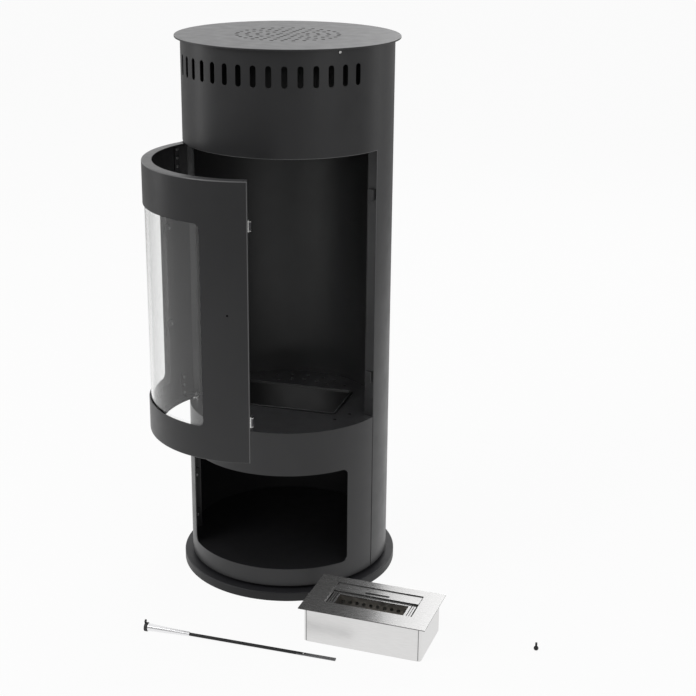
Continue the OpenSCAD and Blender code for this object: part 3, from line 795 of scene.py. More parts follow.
@dataclass(frozen=True)
class MetalFinish(Finish):
    """Bare or plated metal, with streaks along its grain when it is brushed, and painted shade on its
    side faces where that is set.
    """

    grain: Point = (1.0, 1.0, 1.0)
    angles: Point = (0.0, 0.0, 0.0)
    streak_scale: float = 60.0
    streak_depth: float = 0.004
    variation: float = 0.06
    roughness_spread: float = 0.05
    # Factor on the colour of side faces: painted shade
    side_shade_level: float = 1.0
    metallic: float = 1.0

    def inputs(self, tree: Tree) -> dict[str, object]:
        """Adds the nodes of the metal.

        Args:
            tree: the material's tree.

        Returns:
            What the inputs of the Principled shader get.
        """
        streaks = tree.noise(tree.place(self.grain, self.angles), self.streak_scale, 6.0)
        # Side faces get the darker colour, a painted shade
        edge, face = [
            tree.tones(streaks, self.colour, self.variation, level)
            for level in (self.side_shade_level, 1.0)
        ]
        low, high = (self.roughness + side * self.roughness_spread for side in (-1, 1))
        return {
            "Base Color": tree.by_slope(edge, face),
            "Roughness": tree.spread(streaks, low, high),
            "Normal": tree.bump(streaks, self.streak_depth),
            "Metallic": self.metallic,
        }


@dataclass(frozen=True)
class TintedFinish(Finish):
    """Sheet metal with the straw and blue tints that a flame leaves."""

    warm: Colour

    def inputs(self, tree: Tree) -> dict[str, object]:
        """Adds the nodes of the tinted metal.

        Args:
            tree: the material's tree.

        Returns:
            What the inputs of the Principled shader get.
        """
        place = tree.place()
        clouds = tree.spread(tree.noise(place, 28.0, 5.0), 0.0, 1.0)
        soot = tree.noise(place, 110.0, 4.0)
        return {
            "Base Color": tree.mix(clouds, rgba(self.colour), rgba(self.warm)),
            "Roughness": tree.spread(soot, self.roughness - 0.1, self.roughness + 0.12),
            "Normal": tree.bump(tree.noise(place, 600.0, 3.0), 0.02),
            "Metallic": 1.0,
        }


@dataclass(frozen=True)
class SoftFinish(Finish):
    """Matt rubber, moulded plastic or fibre with its own fine texture."""

    grain_scale: float
    grain_depth: float
    variation: float = 0.1

    def inputs(self, tree: Tree) -> dict[str, object]:
        """Adds the nodes of the matt surface.

        Args:
            tree: the material's tree.

        Returns:
            What the inputs of the Principled shader get.
        """
        grain = tree.noise(tree.place(), self.grain_scale, 5.0)
        return {
            "Base Color": tree.tones(grain, self.colour, self.variation),
            "Roughness": tree.spread(grain, self.roughness - 0.06, self.roughness + 0.06),
            "Normal": tree.bump(grain, self.grain_depth),
        }


@dataclass(frozen=True)
class GlassFinish(Finish):
    """Clear fireproof glass that lets lamps through to what is behind it."""

    ior: float

    def inputs(self, tree: Tree) -> dict[str, object]:
        """Adds the nodes of the glass, which is roughest where it is smeared.

        Args:
            tree: the material's tree.

        Returns:
            What the inputs of the Principled shader get.
        """
        smears = tree.noise(tree.place((1, 1, 0.35)), 16.0, 4.0)
        return {
            "Base Color": rgba(self.colour),
            "Roughness": tree.spread(smears, 0.0, self.roughness),
            "IOR": self.ior,
            "Transmission Weight": 1.0,
        }

    def show(self, tree: Tree, shader: bpy.types.Node) -> None:
        """Links the glass to the output, clear for the rays that look for lamps.

        Args:
            tree: the material's tree.
            shader: the glass's shader.
        """
        clear = tree.add("BsdfTransparent", {"Color": rgba(self.colour)})
        shadow = tree.seen("Is Shadow Ray")
        inputs = {"Fac": shadow, 1: shader.outputs[0], 2: clear.outputs[0]}
        tree.show(tree.add("MixShader", inputs))


# The top_light of each coat paints light on its level faces
COAT = CoatFinish("black_powder_coat", "black_coat", (0.0135, 0.0135, 0.0145), 0.37, top_light=2.2)
# A lighter copy of the body's coat: painted light on the lid
LIT_LID_COAT = CoatFinish("lid_coat_painted_light", "black_coat", (0.016, 0.016, 0.017), 0.38, top_light=3.9)
# A darker copy of the body's coat: painted shade on the plinth's side, with painted light on its top
SHADED_BASE_COAT = CoatFinish(
    "base_coat_painted_shade", "black_coat", (0.008, 0.008, 0.009), 0.46, specular=0.32, top_light=2.5
)
# A darker copy of the body's coat: painted shade inside the stove and in its gaps
SHADED_INNER_COAT = CoatFinish("inner_coat_painted_shade", "black_coat", (0.0095, 0.0095, 0.0105), 0.46)
WALL_COAT = CoatFinish("firebox_wall_coat", "black_coat", (0.014, 0.014, 0.0145), 0.44)
# A much darker copy of the body's coat: painted shade on the burner seat's walls; its top_light paints
# light on the firebox floor
SHADE_AND_LIGHT_FLOOR_COAT = CoatFinish(
    "floor_coat_painted_shade_and_light", "black_coat", (0.004, 0.004, 0.0042), 0.36, top_light=7.5
)
DARK_SATIN = CoatFinish(
    "dark_satin_metal",
    "dark_metal",
    (0.008, 0.008, 0.009),
    0.34,
    peel_scale=900.0,
    peel_depth=0.01,
    variation=0.1,
    specular=0.35,
)
PLASTIC = SoftFinish(
    "moulded_black_plastic", "catch_plastic", (0.018, 0.018, 0.019), 0.5, 1500.0, 0.015
)
RUBBER = SoftFinish("glass_seal_rubber", "seal_rubber", (0.03, 0.03, 0.03), 0.75, 900.0, 0.03)
WOOL = SoftFinish("ceramic_wool", "ceramic_wool", (0.82, 0.81, 0.77), 0.95, 420.0, 0.5, 0.14)
ZINC = MetalFinish("bright_zinc", "zinc_fasteners", (0.7, 0.7, 0.69), 0.26, streak_scale=400.0)
# A darker copy of the bright zinc: painted shade that keeps glints off these screws
SHADED_ZINC = MetalFinish(
    "zinc_painted_darker", "zinc_fasteners", (0.24, 0.24, 0.245), 0.36, streak_scale=400.0
)
MAGNET = MetalFinish(
    "dark_magnet", "bright_steel", (0.09, 0.09, 0.095), 0.38, streak_scale=300.0
)
CHROME = MetalFinish(
    "polished_steel",
    "bright_steel",
    (0.84, 0.84, 0.85),
    0.2,
    grain=(0.2, 1, 1),
    streak_scale=240.0,
    streak_depth=0.002,
    variation=0.03,
    roughness_spread=0.03,
)
TANK_STEEL = MetalFinish(
    "brushed_tank_steel",
    "brushed_stainless",
    (0.74, 0.735, 0.73),
    0.36,
    grain=(0.03, 1.0, 1.0),
    angles=(0, 0, -BURNER_TURN),
    streak_scale=900.0,
    streak_depth=0.003,
    variation=0.04,
)
PLATE_STEEL = MetalFinish(
    "brushed_plate_steel",
    "brushed_stainless",
    (0.46, 0.457, 0.455),
    0.26,
    grain=(0.03, 1.0, 1.0),
    angles=(0, 0, -BURNER_TURN),
    streak_scale=1400.0,
    streak_depth=0.003,
    variation=0.05,
    # Its side faces are painted in shade
    side_shade_level=0.12,
    metallic=0.8,
)
BLADE_STEEL = MetalFinish(
    "brushed_blade",
    "brushed_stainless",
    (0.15, 0.15, 0.155),
    0.36,
    grain=(0.04, 1.0, 1.0),
    streak_scale=1200.0,
)
TINTED = TintedFinish(
    "heat_tinted_steel", "heat_tinted_steel", (0.25, 0.245, 0.24), 0.42, (0.38, 0.36, 0.33)
)
GLASS = GlassFinish("fireproof_glass", "door_glass", (0.997, 1.0, 0.997), 0.025, 1.47)

MADE: dict[str, bpy.types.Material] = {}


def material_of(finish: Finish) -> bpy.types.Material:
    """Gets a finish's material, which is built the first time it is asked for.

    Args:
        finish: the finish.

    Returns:
        The material.
    """
    if finish.name not in MADE:
        MADE[finish.name] = finish.material()
    return MADE[finish.name]


def hand_over(piece: Piece, body: Body, finish: Finish, *nodes: str) -> Piece:
    """Dresses a finished piece and lets it ride on its body.

    Args:
        piece: the piece, with its place in its mesh.
        body: the body that it moves with.
        finish: its finish.
        nodes: the CAD nodes that it stands for.

    Returns:
        The piece.
    """
    piece.data.materials.clear()
    piece.data.materials.append(material_of(finish))
    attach(piece, body.value)
    if nodes:
        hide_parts(*nodes)
    faces, stands_for = len(piece.data.polygons), ", ".join(nodes) or "nothing"
    log.info("%s: %d faces, rides on %s, stands for %s", piece.name, faces, body.value, stands_for)
    return piece


def dress_nodes(finish: Finish, *nodes: str) -> None:
    """Gives carried-over CAD nodes their material.

    Args:
        finish: the finish.
        nodes: the names of the nodes.
    """
    for node in nodes:
        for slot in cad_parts[node].material_slots:
            slot.material = material_of(finish)
        log.info("%s: CAD node in %s", node, finish.name)


# The fasteners


@dataclass
class CrossScrew:
    """Pan-head screw with a cross recess; its head stands on its seat along +Z."""

    stud_len: float
    head_d: float = 6.0
    head_h: float = 1.8
    stud_d: float = 2.9
    sides: int = 28
    crown_share: float = 0.45
    recess_share: float = 0.55
    blade_share: float = 0.17
    shading_limit: float = 35.0

    def pattern(self) -> Piece:
        """Models one screw at the origin, to be copied to its places.

        Returns:
            The screw.
        """
        head = rod("screw", self.head_d / 2, 0, self.head_h, self.sides)
        crown = self.head_h * self.crown_share
        bevel_edges(head, lambda a, b: min(a.z, b.z) > self.head_h - NEAR, crown, 4)
        reach = self.head_d * self.recess_share / 2
        half = self.head_d * self.blade_share / 2
        for x, y in ((reach, half), (half, reach)):
            carve(head, block("arm", (-x, -y, crown), (x, y, self.head_h + OVER)))
        stud = rod("stud", self.stud_d / 2, -self.stud_len, NEAR, 16)
        return smooth(joined([head, stud], "screw"), self.shading_limit)


# The sub-assemblies


@dataclass
class DrumAndBody:
    """The rolled body sheet: the drum with its air slots and the sides and back."""

    top: float = 1047.0
    flange_low: float = 57.0
    fold: float = 1.4
    slot_count: int = 15
    slot_step: float = 8.07
    slot_w: float = 10.5
    slot_low: float = 982.0
    slot_top: float = 1020.0
    edge: float = 0.35

    def build(self) -> None:
        """Cuts, folds and rolls the sheet and hands it over."""
        side, back = arc(HALF_OPENING), arc(180.0)
        sheet = block("body_sheet", (-back, 0, BODY_LOW), (back, SHEET, self.top))
        opening = (side, SHEET + OVER, OPENING_TOP)
        carve(sheet, block("opening", (-side, -OVER, BODY_LOW - OVER), opening))
        self._fold_flanges(sheet, side)
        carve(sheet, self._slot_cutters())
        remove_faces(sheet, lambda c, n: abs(c.x) > back - NEAR)
        soften(sheet, self.edge)
        merge_seam(roll_up(sheet))
        near = math.degrees(self.fold / BODY_RADIUS)
        # The folds round the opening get a painted highlight
        mark_folds(
            sheet,
            self.fold,
            lambda a, z: self.flange_low < z < OPENING_TOP + self.fold
            and abs(a) < HALF_OPENING + near
            and (abs(a) > HALF_OPENING - NEAR or z > OPENING_TOP - NEAR),
        )
        smooth(sheet)
        nodes = ("rear_shell", "drum_shell", "jamb_flanges", "header_flange")
        hand_over(sheet, Body.STOVE, COAT, *nodes)

    def _fold_flanges(self, sheet: Piece, side: float) -> None:
        """Folds the flanges in along both sides and the top of the opening.

        Args:
            sheet: the flat sheet.
            side: the half width of the opening along the sheet.
        """
        wide, high = side + SHEET, OPENING_TOP + SHEET
        lines = [(X, -wide), (X, wide), (Z, self.flange_low), (Z, high)]
        cut_across(sheet, lines + [(X, -side), (X, side), (Z, OPENING_TOP)])
        pull_faces(
            sheet,
            lambda c, n: n.y > FACING
            and self.flange_low < c.z < high
            and abs(c.x) < wide
            and (abs(c.x) > side or c.z > OPENING_TOP),
            (0, FLANGE - SHEET, 0),
        )

        def is_fold(a: Vector, b: Vector) -> bool:
            """Tells whether an edge is one of the outer edges round the opening.

            Args:
                a: its one end.
                b: its other end.

            Returns:
                Whether it is.
            """
            outside = max(abs(a.y), abs(b.y)) < NEAR
            in_height = min(a.z, b.z) > self.flange_low - NEAR and max(a.z, b.z) < OPENING_TOP + NEAR
            upright = runs_along(a, b, Z) and abs(abs(a.x) - side) < NEAR
            header = min(a.z, b.z) > OPENING_TOP - NEAR and max(abs(a.x), abs(b.x)) < side + NEAR
            return outside and in_height and (upright or header)

        bevel_edges(sheet, is_fold, self.fold)

    def _slot_cutters(self) -> Piece:
        """Models the cutters of the upright air slots.

        Returns:
            The joined cutters.
        """
        half, middle = self.slot_w / 2, (self.slot_count - 1) / 2
        low, high = (-half, -OVER, self.slot_low), (half, SHEET + OVER, self.slot_top)
        pattern = rounded_block("slot", low, high, half - NEAR, Y)
        places = [shift(arc((i - middle) * self.slot_step)) for i in range(self.slot_count)]
        return repeated(pattern, places, "slots")


@dataclass
class LowerPanel:
    """The lower front panel with the storage opening, its brackets and its screws."""

    half_panel: float = 72.2
    half_storage: float = 52.5
    storage_low: float = 60.0
    storage_top: float = 255.0
    corner: float = 12.0
    corner_steps: int = 8
    edge: float = 0.4
    screw_radius: float = 187.0
    screw_zs: tuple[float, ...] = (84.0, 172.5, 313.0)

    def build(self) -> None:
        """Builds the panel and the screws of its brackets."""
        side, half = arc(self.half_panel), arc(self.half_storage)
        panel = block("storage_panel", (-side, 0, BODY_LOW), (side, SHEET, PANEL_TOP))
        low, high = (-half, -OVER, self.storage_low), (half, SHEET + OVER, self.storage_top)
        carve(panel, rounded_block("window", low, high, self.corner, Y, self.corner_steps))
        soften(panel, self.edge)
        smooth(roll_up(panel))
        hand_over(panel, Body.STOVE, COAT, "front_panel")
        places = [
            at_azimuth(side * HALF_OPENING, self.screw_radius, z)
            @ turn(side * 90, "X")
            @ shift(z=SHEET)
            for side in (-1, 1)
            for z in self.screw_zs
        ]
        screws = repeated(CrossScrew(stud_len=4.0).pattern(), places, "bracket_screws")
        hand_over(screws, Body.STOVE, SHADED_ZINC, "panel_screws")
        dress_nodes(SHADED_INNER_COAT, "storage_floor", "panel_brackets")


@dataclass
class Plinth:
    """The pressed base pan that the fireplace stands on."""

    radius: float = 212.9
    height: float = 17.5
    sheet: float = 3.0
    rounding: float = 2.0
    foot_rounding: float = 0.8
    sides: int = 160

    def build(self) -> None:
        """Builds the pan and dresses the foot ring above it."""
        pan = rod("base_pan", self.radius, 0, self.height, self.sides)
        bevel_edges(pan, lambda a, b: min(a.z, b.z) > self.height - NEAR, self.rounding, 5)
        hollow = (0, 0, self.height - self.sheet)
        pull_faces(pan, lambda c, n: n.z < -FACING, hollow, self.sheet)
        bevel_edges(
            pan,
            lambda a, b: max(a.z, b.z) < NEAR
            and min(a.xy.length, b.xy.length) > self.radius - 3 * NEAR,
            self.foot_rounding,
            2,
        )
        smooth(pan)
        hand_over(pan, Body.STOVE, SHADED_BASE_COAT, "base_plinth")
        dress_nodes(SHADED_INNER_COAT, "foot_ring")
        dress_nodes(ZINC, "base_screws")


@dataclass
class Lid:
    """The round lid with its rings of holes and the screws of its collar."""

    radius: float = 207.9
    low: float = 1047.0
    top: float = 1050.0
    sides: int = 180
    rings: int = 5
    pitch: float = 18.8
    hole_d: float = 8.0
    hole_sides: int = 20
    edge: float = 0.6
    hole_edge: float = 0.3
    screw_z: float = 1042.0
    screw_azimuths: tuple[float, ...] = (45.0, 165.0, 285.0)

    def build(self) -> None:
        """Builds the lid and its screws, and dresses what is under it."""
        lid = rod("perforated_lid", self.radius, self.low, self.top, self.sides)
        bevel_edges(lid, is_level, self.edge)
        centres = self._centres()
        pattern = rod("hole", self.hole_d / 2, self.low - OVER, self.top + OVER, self.hole_sides)
        carve(lid, repeated(pattern, [shift(x, y) for x, y in centres], "holes"))

        def on_hole(point: Vector) -> bool:
            """Tells whether a point lies on the rim of one of the holes."""
            reaches = (math.hypot(point.x - x, point.y - y) for x, y in centres)
            return any(abs(reach - self.hole_d / 2) < NEAR for reach in reaches)

        bevel_edges(
            lid,
            lambda a, b: min(a.z, b.z) > self.top - NEAR
            and max(a.xy.length, b.xy.length) < self.radius / 2
            and (a - b).length < self.hole_d / 4
            and on_hole(a)
            and on_hole(b),
            self.hole_edge,
            2,
        )
        smooth(lid)
        hand_over(lid, Body.STOVE, LIT_LID_COAT, "top_lid")
        places = [
            at_azimuth(a, BODY_RADIUS, self.screw_z) @ turn(90, "Y") for a in self.screw_azimuths
        ]
        screw = CrossScrew(stud_len=3.5, head_d=5.0, head_h=1.6)
        screws = repeated(screw.pattern(), places, "collar_screws")
        hand_over(screws, Body.STOVE, ZINC, "lid_screws")
        dress_nodes(SHADED_INNER_COAT, "lid_collar")

    def _centres(self) -> list[tuple[float, float]]:
        """Returns the centres of the holes, one in the middle and six more in each ring.

        Returns:
            The x and y of each centre.
        """
        centres = [(0.0, 0.0)]
        for ring in range(1, self.rings + 1):
            for i in range(6 * ring):
                angle = math.radians(i * 60 / ring)
                reach = ring * self.pitch
                centres.append((reach * math.sin(angle), -reach * math.cos(angle)))
        return centres


@dataclass
class Firebox:
    """The burner's chamber: its curved wall, floor, seat, ceiling and deflector."""

    wall_radius: float = 173.51
    wall_sheet: float = 1.5
    wall_shift: float = 20.0
    wall_end: float = 79.02
    wall_top: float = 860.0
    wall_edge: float = 0.3
    seat_y: float = -7.0
    seat_w: float = 225.0
    seat_d: float = 125.0
    seat_corner: float = 7.0
    rim_w: float = 3.0
    rim_h: float = 3.5
    rim_edge: float = 0.8

    def build(self) -> None:
        """Builds the wall and the raised seat of the burner, and dresses the plates."""
        half = arc(180.0 - self.wall_end, self.wall_radius)
        top = (half, self.wall_sheet, self.wall_top)
        wall = block("firebox_wall", (-half, 0, PANEL_TOP), top)
        soften(wall, self.wall_edge)
        roll_up(wall, self.wall_radius)
        smooth(placed(wall, shift(y=-self.wall_shift) @ turn(180, "Z")))
        hand_over(wall, Body.STOVE, WALL_COAT, "firebox_liner")
        seat = self._over_cut_out("burner_seat_rim", self.rim_w, 0.0)
        carve(seat, self._over_cut_out("cut_out", 0.0, OVER))
        smooth(soften(seat, self.rim_edge, 3))
        hand_over(seat, Body.STOVE, SHADE_AND_LIGHT_FLOOR_COAT, "burner_seat")
        dress_nodes(SHADE_AND_LIGHT_FLOOR_COAT, "firebox_floor")
        dress_nodes(SHADED_INNER_COAT, "firebox_ceiling", "heat_deflector")
        dress_nodes(ZINC, "deflector_spacers", "top_pivot_bush", "bottom_pivot_bush")

    def _over_cut_out(self, name: str, wider: float, taller: float) -> Piece:
        """Adds a block over the burner's cut-out.

        Args:
            name: its name.
            wider: how far it stands out past the cut-out on each side.
            taller: how far it reaches past the seat's rim, up and down.

        Returns:
            The block.
        """
        half_w, half_d = self.seat_w / 2 + wider, self.seat_d / 2 + wider
        low = (-half_w, self.seat_y - half_d, PANEL_TOP - taller)
        high = (half_w, self.seat_y + half_d, PANEL_TOP + self.rim_h + taller)
        return rounded_block(name, low, high, self.seat_corner + wider, Z)


@dataclass
class StrikePads:
    """Two coated pads on the right jamb, which the door's magnets meet."""

    width: float = 12.0
    thickness: float = 5.65
    height: float = 21.0
    corner: float = 1.5
    edge: float = 0.5

    def build(self) -> None:
        """Builds the pads."""
        low, high = (0, -self.thickness, -self.height / 2), (self.width, 0, self.height / 2)
        pad = soften(rounded_block("pad", low, high, self.corner, Y, 4), self.edge)
        places = [at_azimuth(HALF_OPENING, CATCH_RADIUS, z) for z in CATCH_ZS]
        pads = smooth(repeated(pad, places, "strike_pad_pair"))
        hand_over(pads, Body.STOVE, COAT, "strike_pads")


def swing() -> Matrix:
    """Returns the turn from shut to the place where the door stands open."""
    x, y = PIVOT
    return shift(x, y) @ turn(-DOOR_OPEN, "Z") @ shift(-x, -y)


def hang(piece: Piece, finish: Finish, *nodes: str) -> Piece:
    """Turns a piece of the shut door open, shades it and hands it over."""
    smooth(placed(piece, swing()))
    return hand_over(piece, Body.DOOR, finish, *nodes)


def hang_screws(name: str, stud_len: float, spots: Sequence[Point], *nodes: str) -> None:
    """Adds screws that point outwards from the inside of the door.

    Args:
        name: the name of the joined screws.
        stud_len: the length of a screw's stud.
        spots: the azimuth, radius and height of each screw's seat on the shut door.
        nodes: the CAD nodes that they stand for.
    """
    places = [swing() @ at_azimuth(*spot) @ turn(-90, "Y") for spot in spots]
    screws = repeated(CrossScrew(stud_len).pattern(), places, name)
    hand_over(screws, Body.DOOR, SHADED_ZINC, *nodes)


@dataclass
class DoorSheet:
    """The door's curved sheet, with its folded rims, window and knob hole."""

    low: float = 347.5
    top: float = 853.0
    rim_end: float = 64.92
    corner: float = 12.0
    corner_steps: int = 8
    fold: float = 1.9
    edge: float = 0.35
    relief_d: float = 3.0
    knob_azimuth: float = 58.147
    knob_z: float = 619.0
    knob_hole_d: float = 4.2
    hole_sides: int = 20

    def build(self) -> None:
        """Cuts, folds and rolls the sheet and hands it over."""
        side = arc(HALF_DOOR)
        sheet = block("door_sheet", (-side, 0, self.low), (side, SHEET, self.top))
        self._fold_rims(sheet, side)
        carve(sheet, *self._cutters(side))
        soften(sheet, self.edge)
        roll_up(sheet)
        near = math.degrees(self.fold / BODY_RADIUS)
        # The folded rims get a painted highlight
        mark_folds(
            sheet, self.fold, lambda a, z: a > HALF_DOOR - near or z > self.top - self.fold
        )
        nodes = ("door_skin", "door_top_rim", "door_bottom_rim", "door_free_flange")
        hang(sheet, COAT, *nodes)

    def _fold_rims(self, sheet: Piece, side: float) -> None:
        """Folds the rims in along the top, the bottom and the free edge.

        Args:
            sheet: the flat sheet.
            side: its half width.
        """
        start = -arc(self.rim_end)
        inner_side, inner_low, inner_top = side - SHEET, self.low + SHEET, self.top - SHEET
        cut_across(sheet, [(X, start), (X, inner_side), (Z, inner_low), (Z, inner_top)])
        pull_faces(
            sheet,
            lambda c, n: n.y > FACING
            and c.x > start
            and (c.x > inner_side or c.z > inner_top or c.z < inner_low),
            (0, FLANGE - SHEET, 0),
        )
        bevel_edges(
            sheet,
            lambda a, b: max(abs(a.y), abs(b.y)) < NEAR
            and min(a.x, b.x) > start - NEAR
            and (
                min(a.x, b.x) > side - NEAR
                or min(a.z, b.z) > self.top - NEAR
                or max(a.z, b.z) < self.low + NEAR
            ),
            self.fold,
        )

    def _cutters(self, side: float) -> list[Piece]:
        """Models the cutters of the window, the knob's hole and the corner's relief hole.

        Args:
            side: the half width of the sheet.

        Returns:
            The cutters.
        """
        half = arc(HALF_WINDOW)
        low, high = (-half, -OVER, WINDOW_LOW), (half, SHEET + OVER, WINDOW_TOP)
        window = rounded_block("window", low, high, self.corner, Y, self.corner_steps)
        knob = rod("knob_hole", self.knob_hole_d / 2, -OVER, SHEET + OVER, self.hole_sides)
        placed(knob, shift(arc(self.knob_azimuth), 0, self.knob_z) @ turn(-90, "X"))
        inset = 2 * self.relief_d
        relief_low, relief_top = self.top - SHEET - OVER, self.top + OVER
        spot = (side - inset, inset)
        radius = self.relief_d / 2
        relief = rod("relief", radius, relief_low, relief_top, self.hole_sides, spot)
        return [window, knob, relief]


@dataclass
class Glazing:
    """The door's curved glass and the clips round it."""

    half_pane: float = 48.337
    lap: float = 15.0
    pane_front: float = 3.3
    pane_back: float = 7.3
    pane_corner: float = 5.0
    pane_edge: float = 0.7
    clip_t: float = 1.5
    clip_half: float = 8.0
    clip_reach: float = 7.0
    foot_start: float = 1.0
    foot_end: float = 12.0
    gap: float = 0.1
    clip_edge: float = 0.4
    screw_step: float = 1.963
    head_gap: float = 0.04
    side_shares: tuple[float, ...] = (0.28, 0.79)
    edge_shares: tuple[float, ...] = (-0.8, 0.0, 0.8)

    def build(self) -> None:
        """Builds the glass, the clips and their screws, and dresses the seal."""
        half = arc(self.half_pane)
        low = (-half, self.pane_front, WINDOW_LOW - self.lap)
        pane = block("curved_pane", low, (half, self.pane_back, WINDOW_TOP + self.lap))
        bevel_edges(pane, lambda a, b: runs_along(a, b, Y), self.pane_corner, 5)
        roll_up(soften(pane, self.pane_edge))
        hang(pane, GLASS, "door_glass")
        flat_places, spots = self._clip_places()
        clips = repeated(self._clip(), flat_places, "pane_clips")
        hang(roll_up(clips), COAT, "glass_clips")
        hang_screws("pane_clip_screws", 5.5, spots, "clip_screws")
        dress_nodes(RUBBER, "glass_seal")

    def _clip(self) -> Piece:
        """Models one flat clip, with its foot along +X and the glass's edge at the origin.

        Returns:
            The clip.
        """
        front = self.pane_back + self.gap
        low = (-self.clip_reach, front, -self.clip_half)
        clip = block("clip", low, (self.foot_end, front + self.clip_t, self.clip_half))
        cut_across(clip, [(X, self.foot_start)])
        foot = (0, SHEET + self.gap - front, 0)
        pull_faces(clip, lambda c, n: n.y < -FACING and c.x > self.foot_start, foot)
        return soften(clip, self.clip_edge)

    def _clip_places(self) -> tuple[list[Matrix], list[Point]]:
        """Works out where the clips go, on the flat sheet, and where their screws go.

        Returns:
            The move of each clip, and the azimuth, radius and height of each screw's seat.
        """
        places, spots = [], []
        middle = (self.foot_start + self.foot_end) / 2
        seat = BODY_RADIUS - self.pane_back - self.gap - self.clip_t - self.head_gap
        for side in (-1, 1):
            for share in self.side_shares:
                z = WINDOW_LOW + share * (WINDOW_TOP - WINDOW_LOW)
                flip = turn(0 if side > 0 else 180, "Y")
                places.append(shift(side * arc(self.half_pane), 0, z) @ flip)
                spots.append((side * (self.half_pane + self.screw_step), seat, z))
            edge_z = WINDOW_TOP + self.lap if side > 0 else WINDOW_LOW - self.lap
            for share in self.edge_shares:
                azimuth = share * HALF_WINDOW
                places.append(shift(arc(azimuth), 0, edge_z) @ turn(-90 * side, "Y"))
                spots.append((azimuth, seat, edge_z + side * middle))
        return places, spots


@dataclass
class Hinges:
    """The two hinge brackets inside the door, each a rolled leaf with a level tab."""

    leaf_left: float = -235.23
    leaf_right: float = -204.91
    leaf_front: float = 2.1
    leaf_t: float = 2.0
    leaf_h: float = 52.0
    corner: float = 4.0
    edge: float = 0.3
    tab_right: float = -215.01
    tab_t: float = 3.0
    tab_reach: float = 14.4
    eye_radius: float = 6.5
    eye_inset: float = 0.02
    screw_azimuth: float = -61.358
    screw_radius: float = 192.86
    screw_steps: tuple[float, ...] = (-16.0, 0.0, 16.0)

    def build(self) -> None:
        """Builds both brackets and dresses their pins."""
        self._build_bracket("upper_bracket", 799.0, 848.0, "top_hinge_bracket", "hinge_screws")
        self._build_bracket("lower_bracket", 349.5, 349.5, "bottom_hinge_bracket")
        dress_nodes(ZINC, "top_hinge_pin", "bottom_hinge_pin")

    def _build_bracket(self, name: str, low: float, tab_low: float, node: str, *screws: str) -> None:
        """Builds a bracket and its screws.

        Args:
            name: its name.
            low: the height of its lower end.
            tab_low: the height of its tab's underside.
            node: the CAD node that it stands for.
            screws: the CAD node that its screws stand for, if they do.
        """
        top, tab_top = low + self.leaf_h, tab_low + self.tab_t
        free_z = low if tab_low > low else top
        back = self.leaf_front + self.leaf_t
        leaf_low = (self.leaf_left, self.leaf_front, low)
        bracket = block(name, leaf_low, (self.leaf_right, back, top))
        bevel_edges(
            bracket,
            lambda a, b: runs_along(a, b, Y)
            and (abs(a.z - free_z) < NEAR or a.x > self.leaf_right - NEAR),
            self.corner,
            4,
        )
        cut_across(bracket, [(X, self.tab_right), (Z, tab_low), (Z, tab_top)])
        pull_faces(
            bracket,
            lambda c, n: n.y > FACING and c.x < self.tab_right and tab_low < c.z < tab_top,
            (0, self.tab_reach, 0),
        )
        roll_up(soften(bracket, self.edge))
        eye_low, eye_top = tab_low + self.eye_inset, tab_top - self.eye_inset
        eye = rod("eye", self.eye_radius, eye_low, eye_top, 40, PIVOT)
        combine(bracket, [eye], "UNION")
        hang(bracket, COAT, node)
        middle = low + self.leaf_h / 2
        spots = [(self.screw_azimuth, self.screw_radius, middle + s) for s in self.screw_steps]
        hang_screws(name + "_screws", 3.5, spots, *screws)


@dataclass
class Catches:
    """The magnet catches on the door's free flange, each on a bright back plate."""

    width: float = 12.0
    half_h: float = 10.3
    back_t: float = 2.3
    magnet_inset: float = 1.2
    magnet_top: float = 5.5
    magnet_half: float = 7.4
    pole_inset: float = 0.8
    pole_top: float = 6.0
    pole_half: float = 0.6
    pole_steps: tuple[float, float] = (-8.0, 8.0)
    corner: float = 1.5
    edge: float = 0.3
    magnet_edge: float = 0.5
    pole_corner: float = 0.5
    pole_edge: float = 0.2

    def build(self) -> None:
        """Builds the magnets, and the back plates with their end poles."""
        start, top = self.back_t, self.magnet_top
        magnet = self._slab("magnet", self.magnet_inset, start, top, self.magnet_half)
        soften(magnet, self.magnet_edge)
        low, high = (0, 0, -self.half_h), (self.width, self.back_t, self.half_h)
        back = soften(rounded_block("back", low, high, self.corner, Y, 3), self.edge)
        start -= NEAR
        pole = self._slab("pole", self.pole_inset, start, self.pole_top, self.pole_half)
        bevel_edges(pole, lambda a, b: runs_along(a, b, Z), self.pole_corner, 2)
        steps = [shift(z=step) for step in self.pole_steps]
        poles = repeated(soften(pole, self.pole_edge), steps, "poles")
        plate = joined([back, poles], "plate")
        places = [swing() @ at_azimuth(HALF_DOOR, CATCH_RADIUS, z) for z in CATCH_ZS]
        plates = repeated(plate, places, "catch_plates")
        magnets = repeated(magnet, places, "catch_magnets")
        hand_over(smooth(magnets), Body.DOOR, MAGNET, "magnet_catches")
        hand_over(smooth(plates), Body.DOOR, ZINC)

    def _slab(self, name: str, inset: float, start: float, top: float, half: float) -> Piece:
        """Adds a slab that stands on a back plate.

        Args:
            name: its name.
            inset: its distance from the plate's long edges.
            start: its depth where it starts.
            top: its depth where it ends.
            half: half its height.

        Returns:
            The slab.
        """
        return block(name, (inset, start, -half), (self.width - inset, top, half))


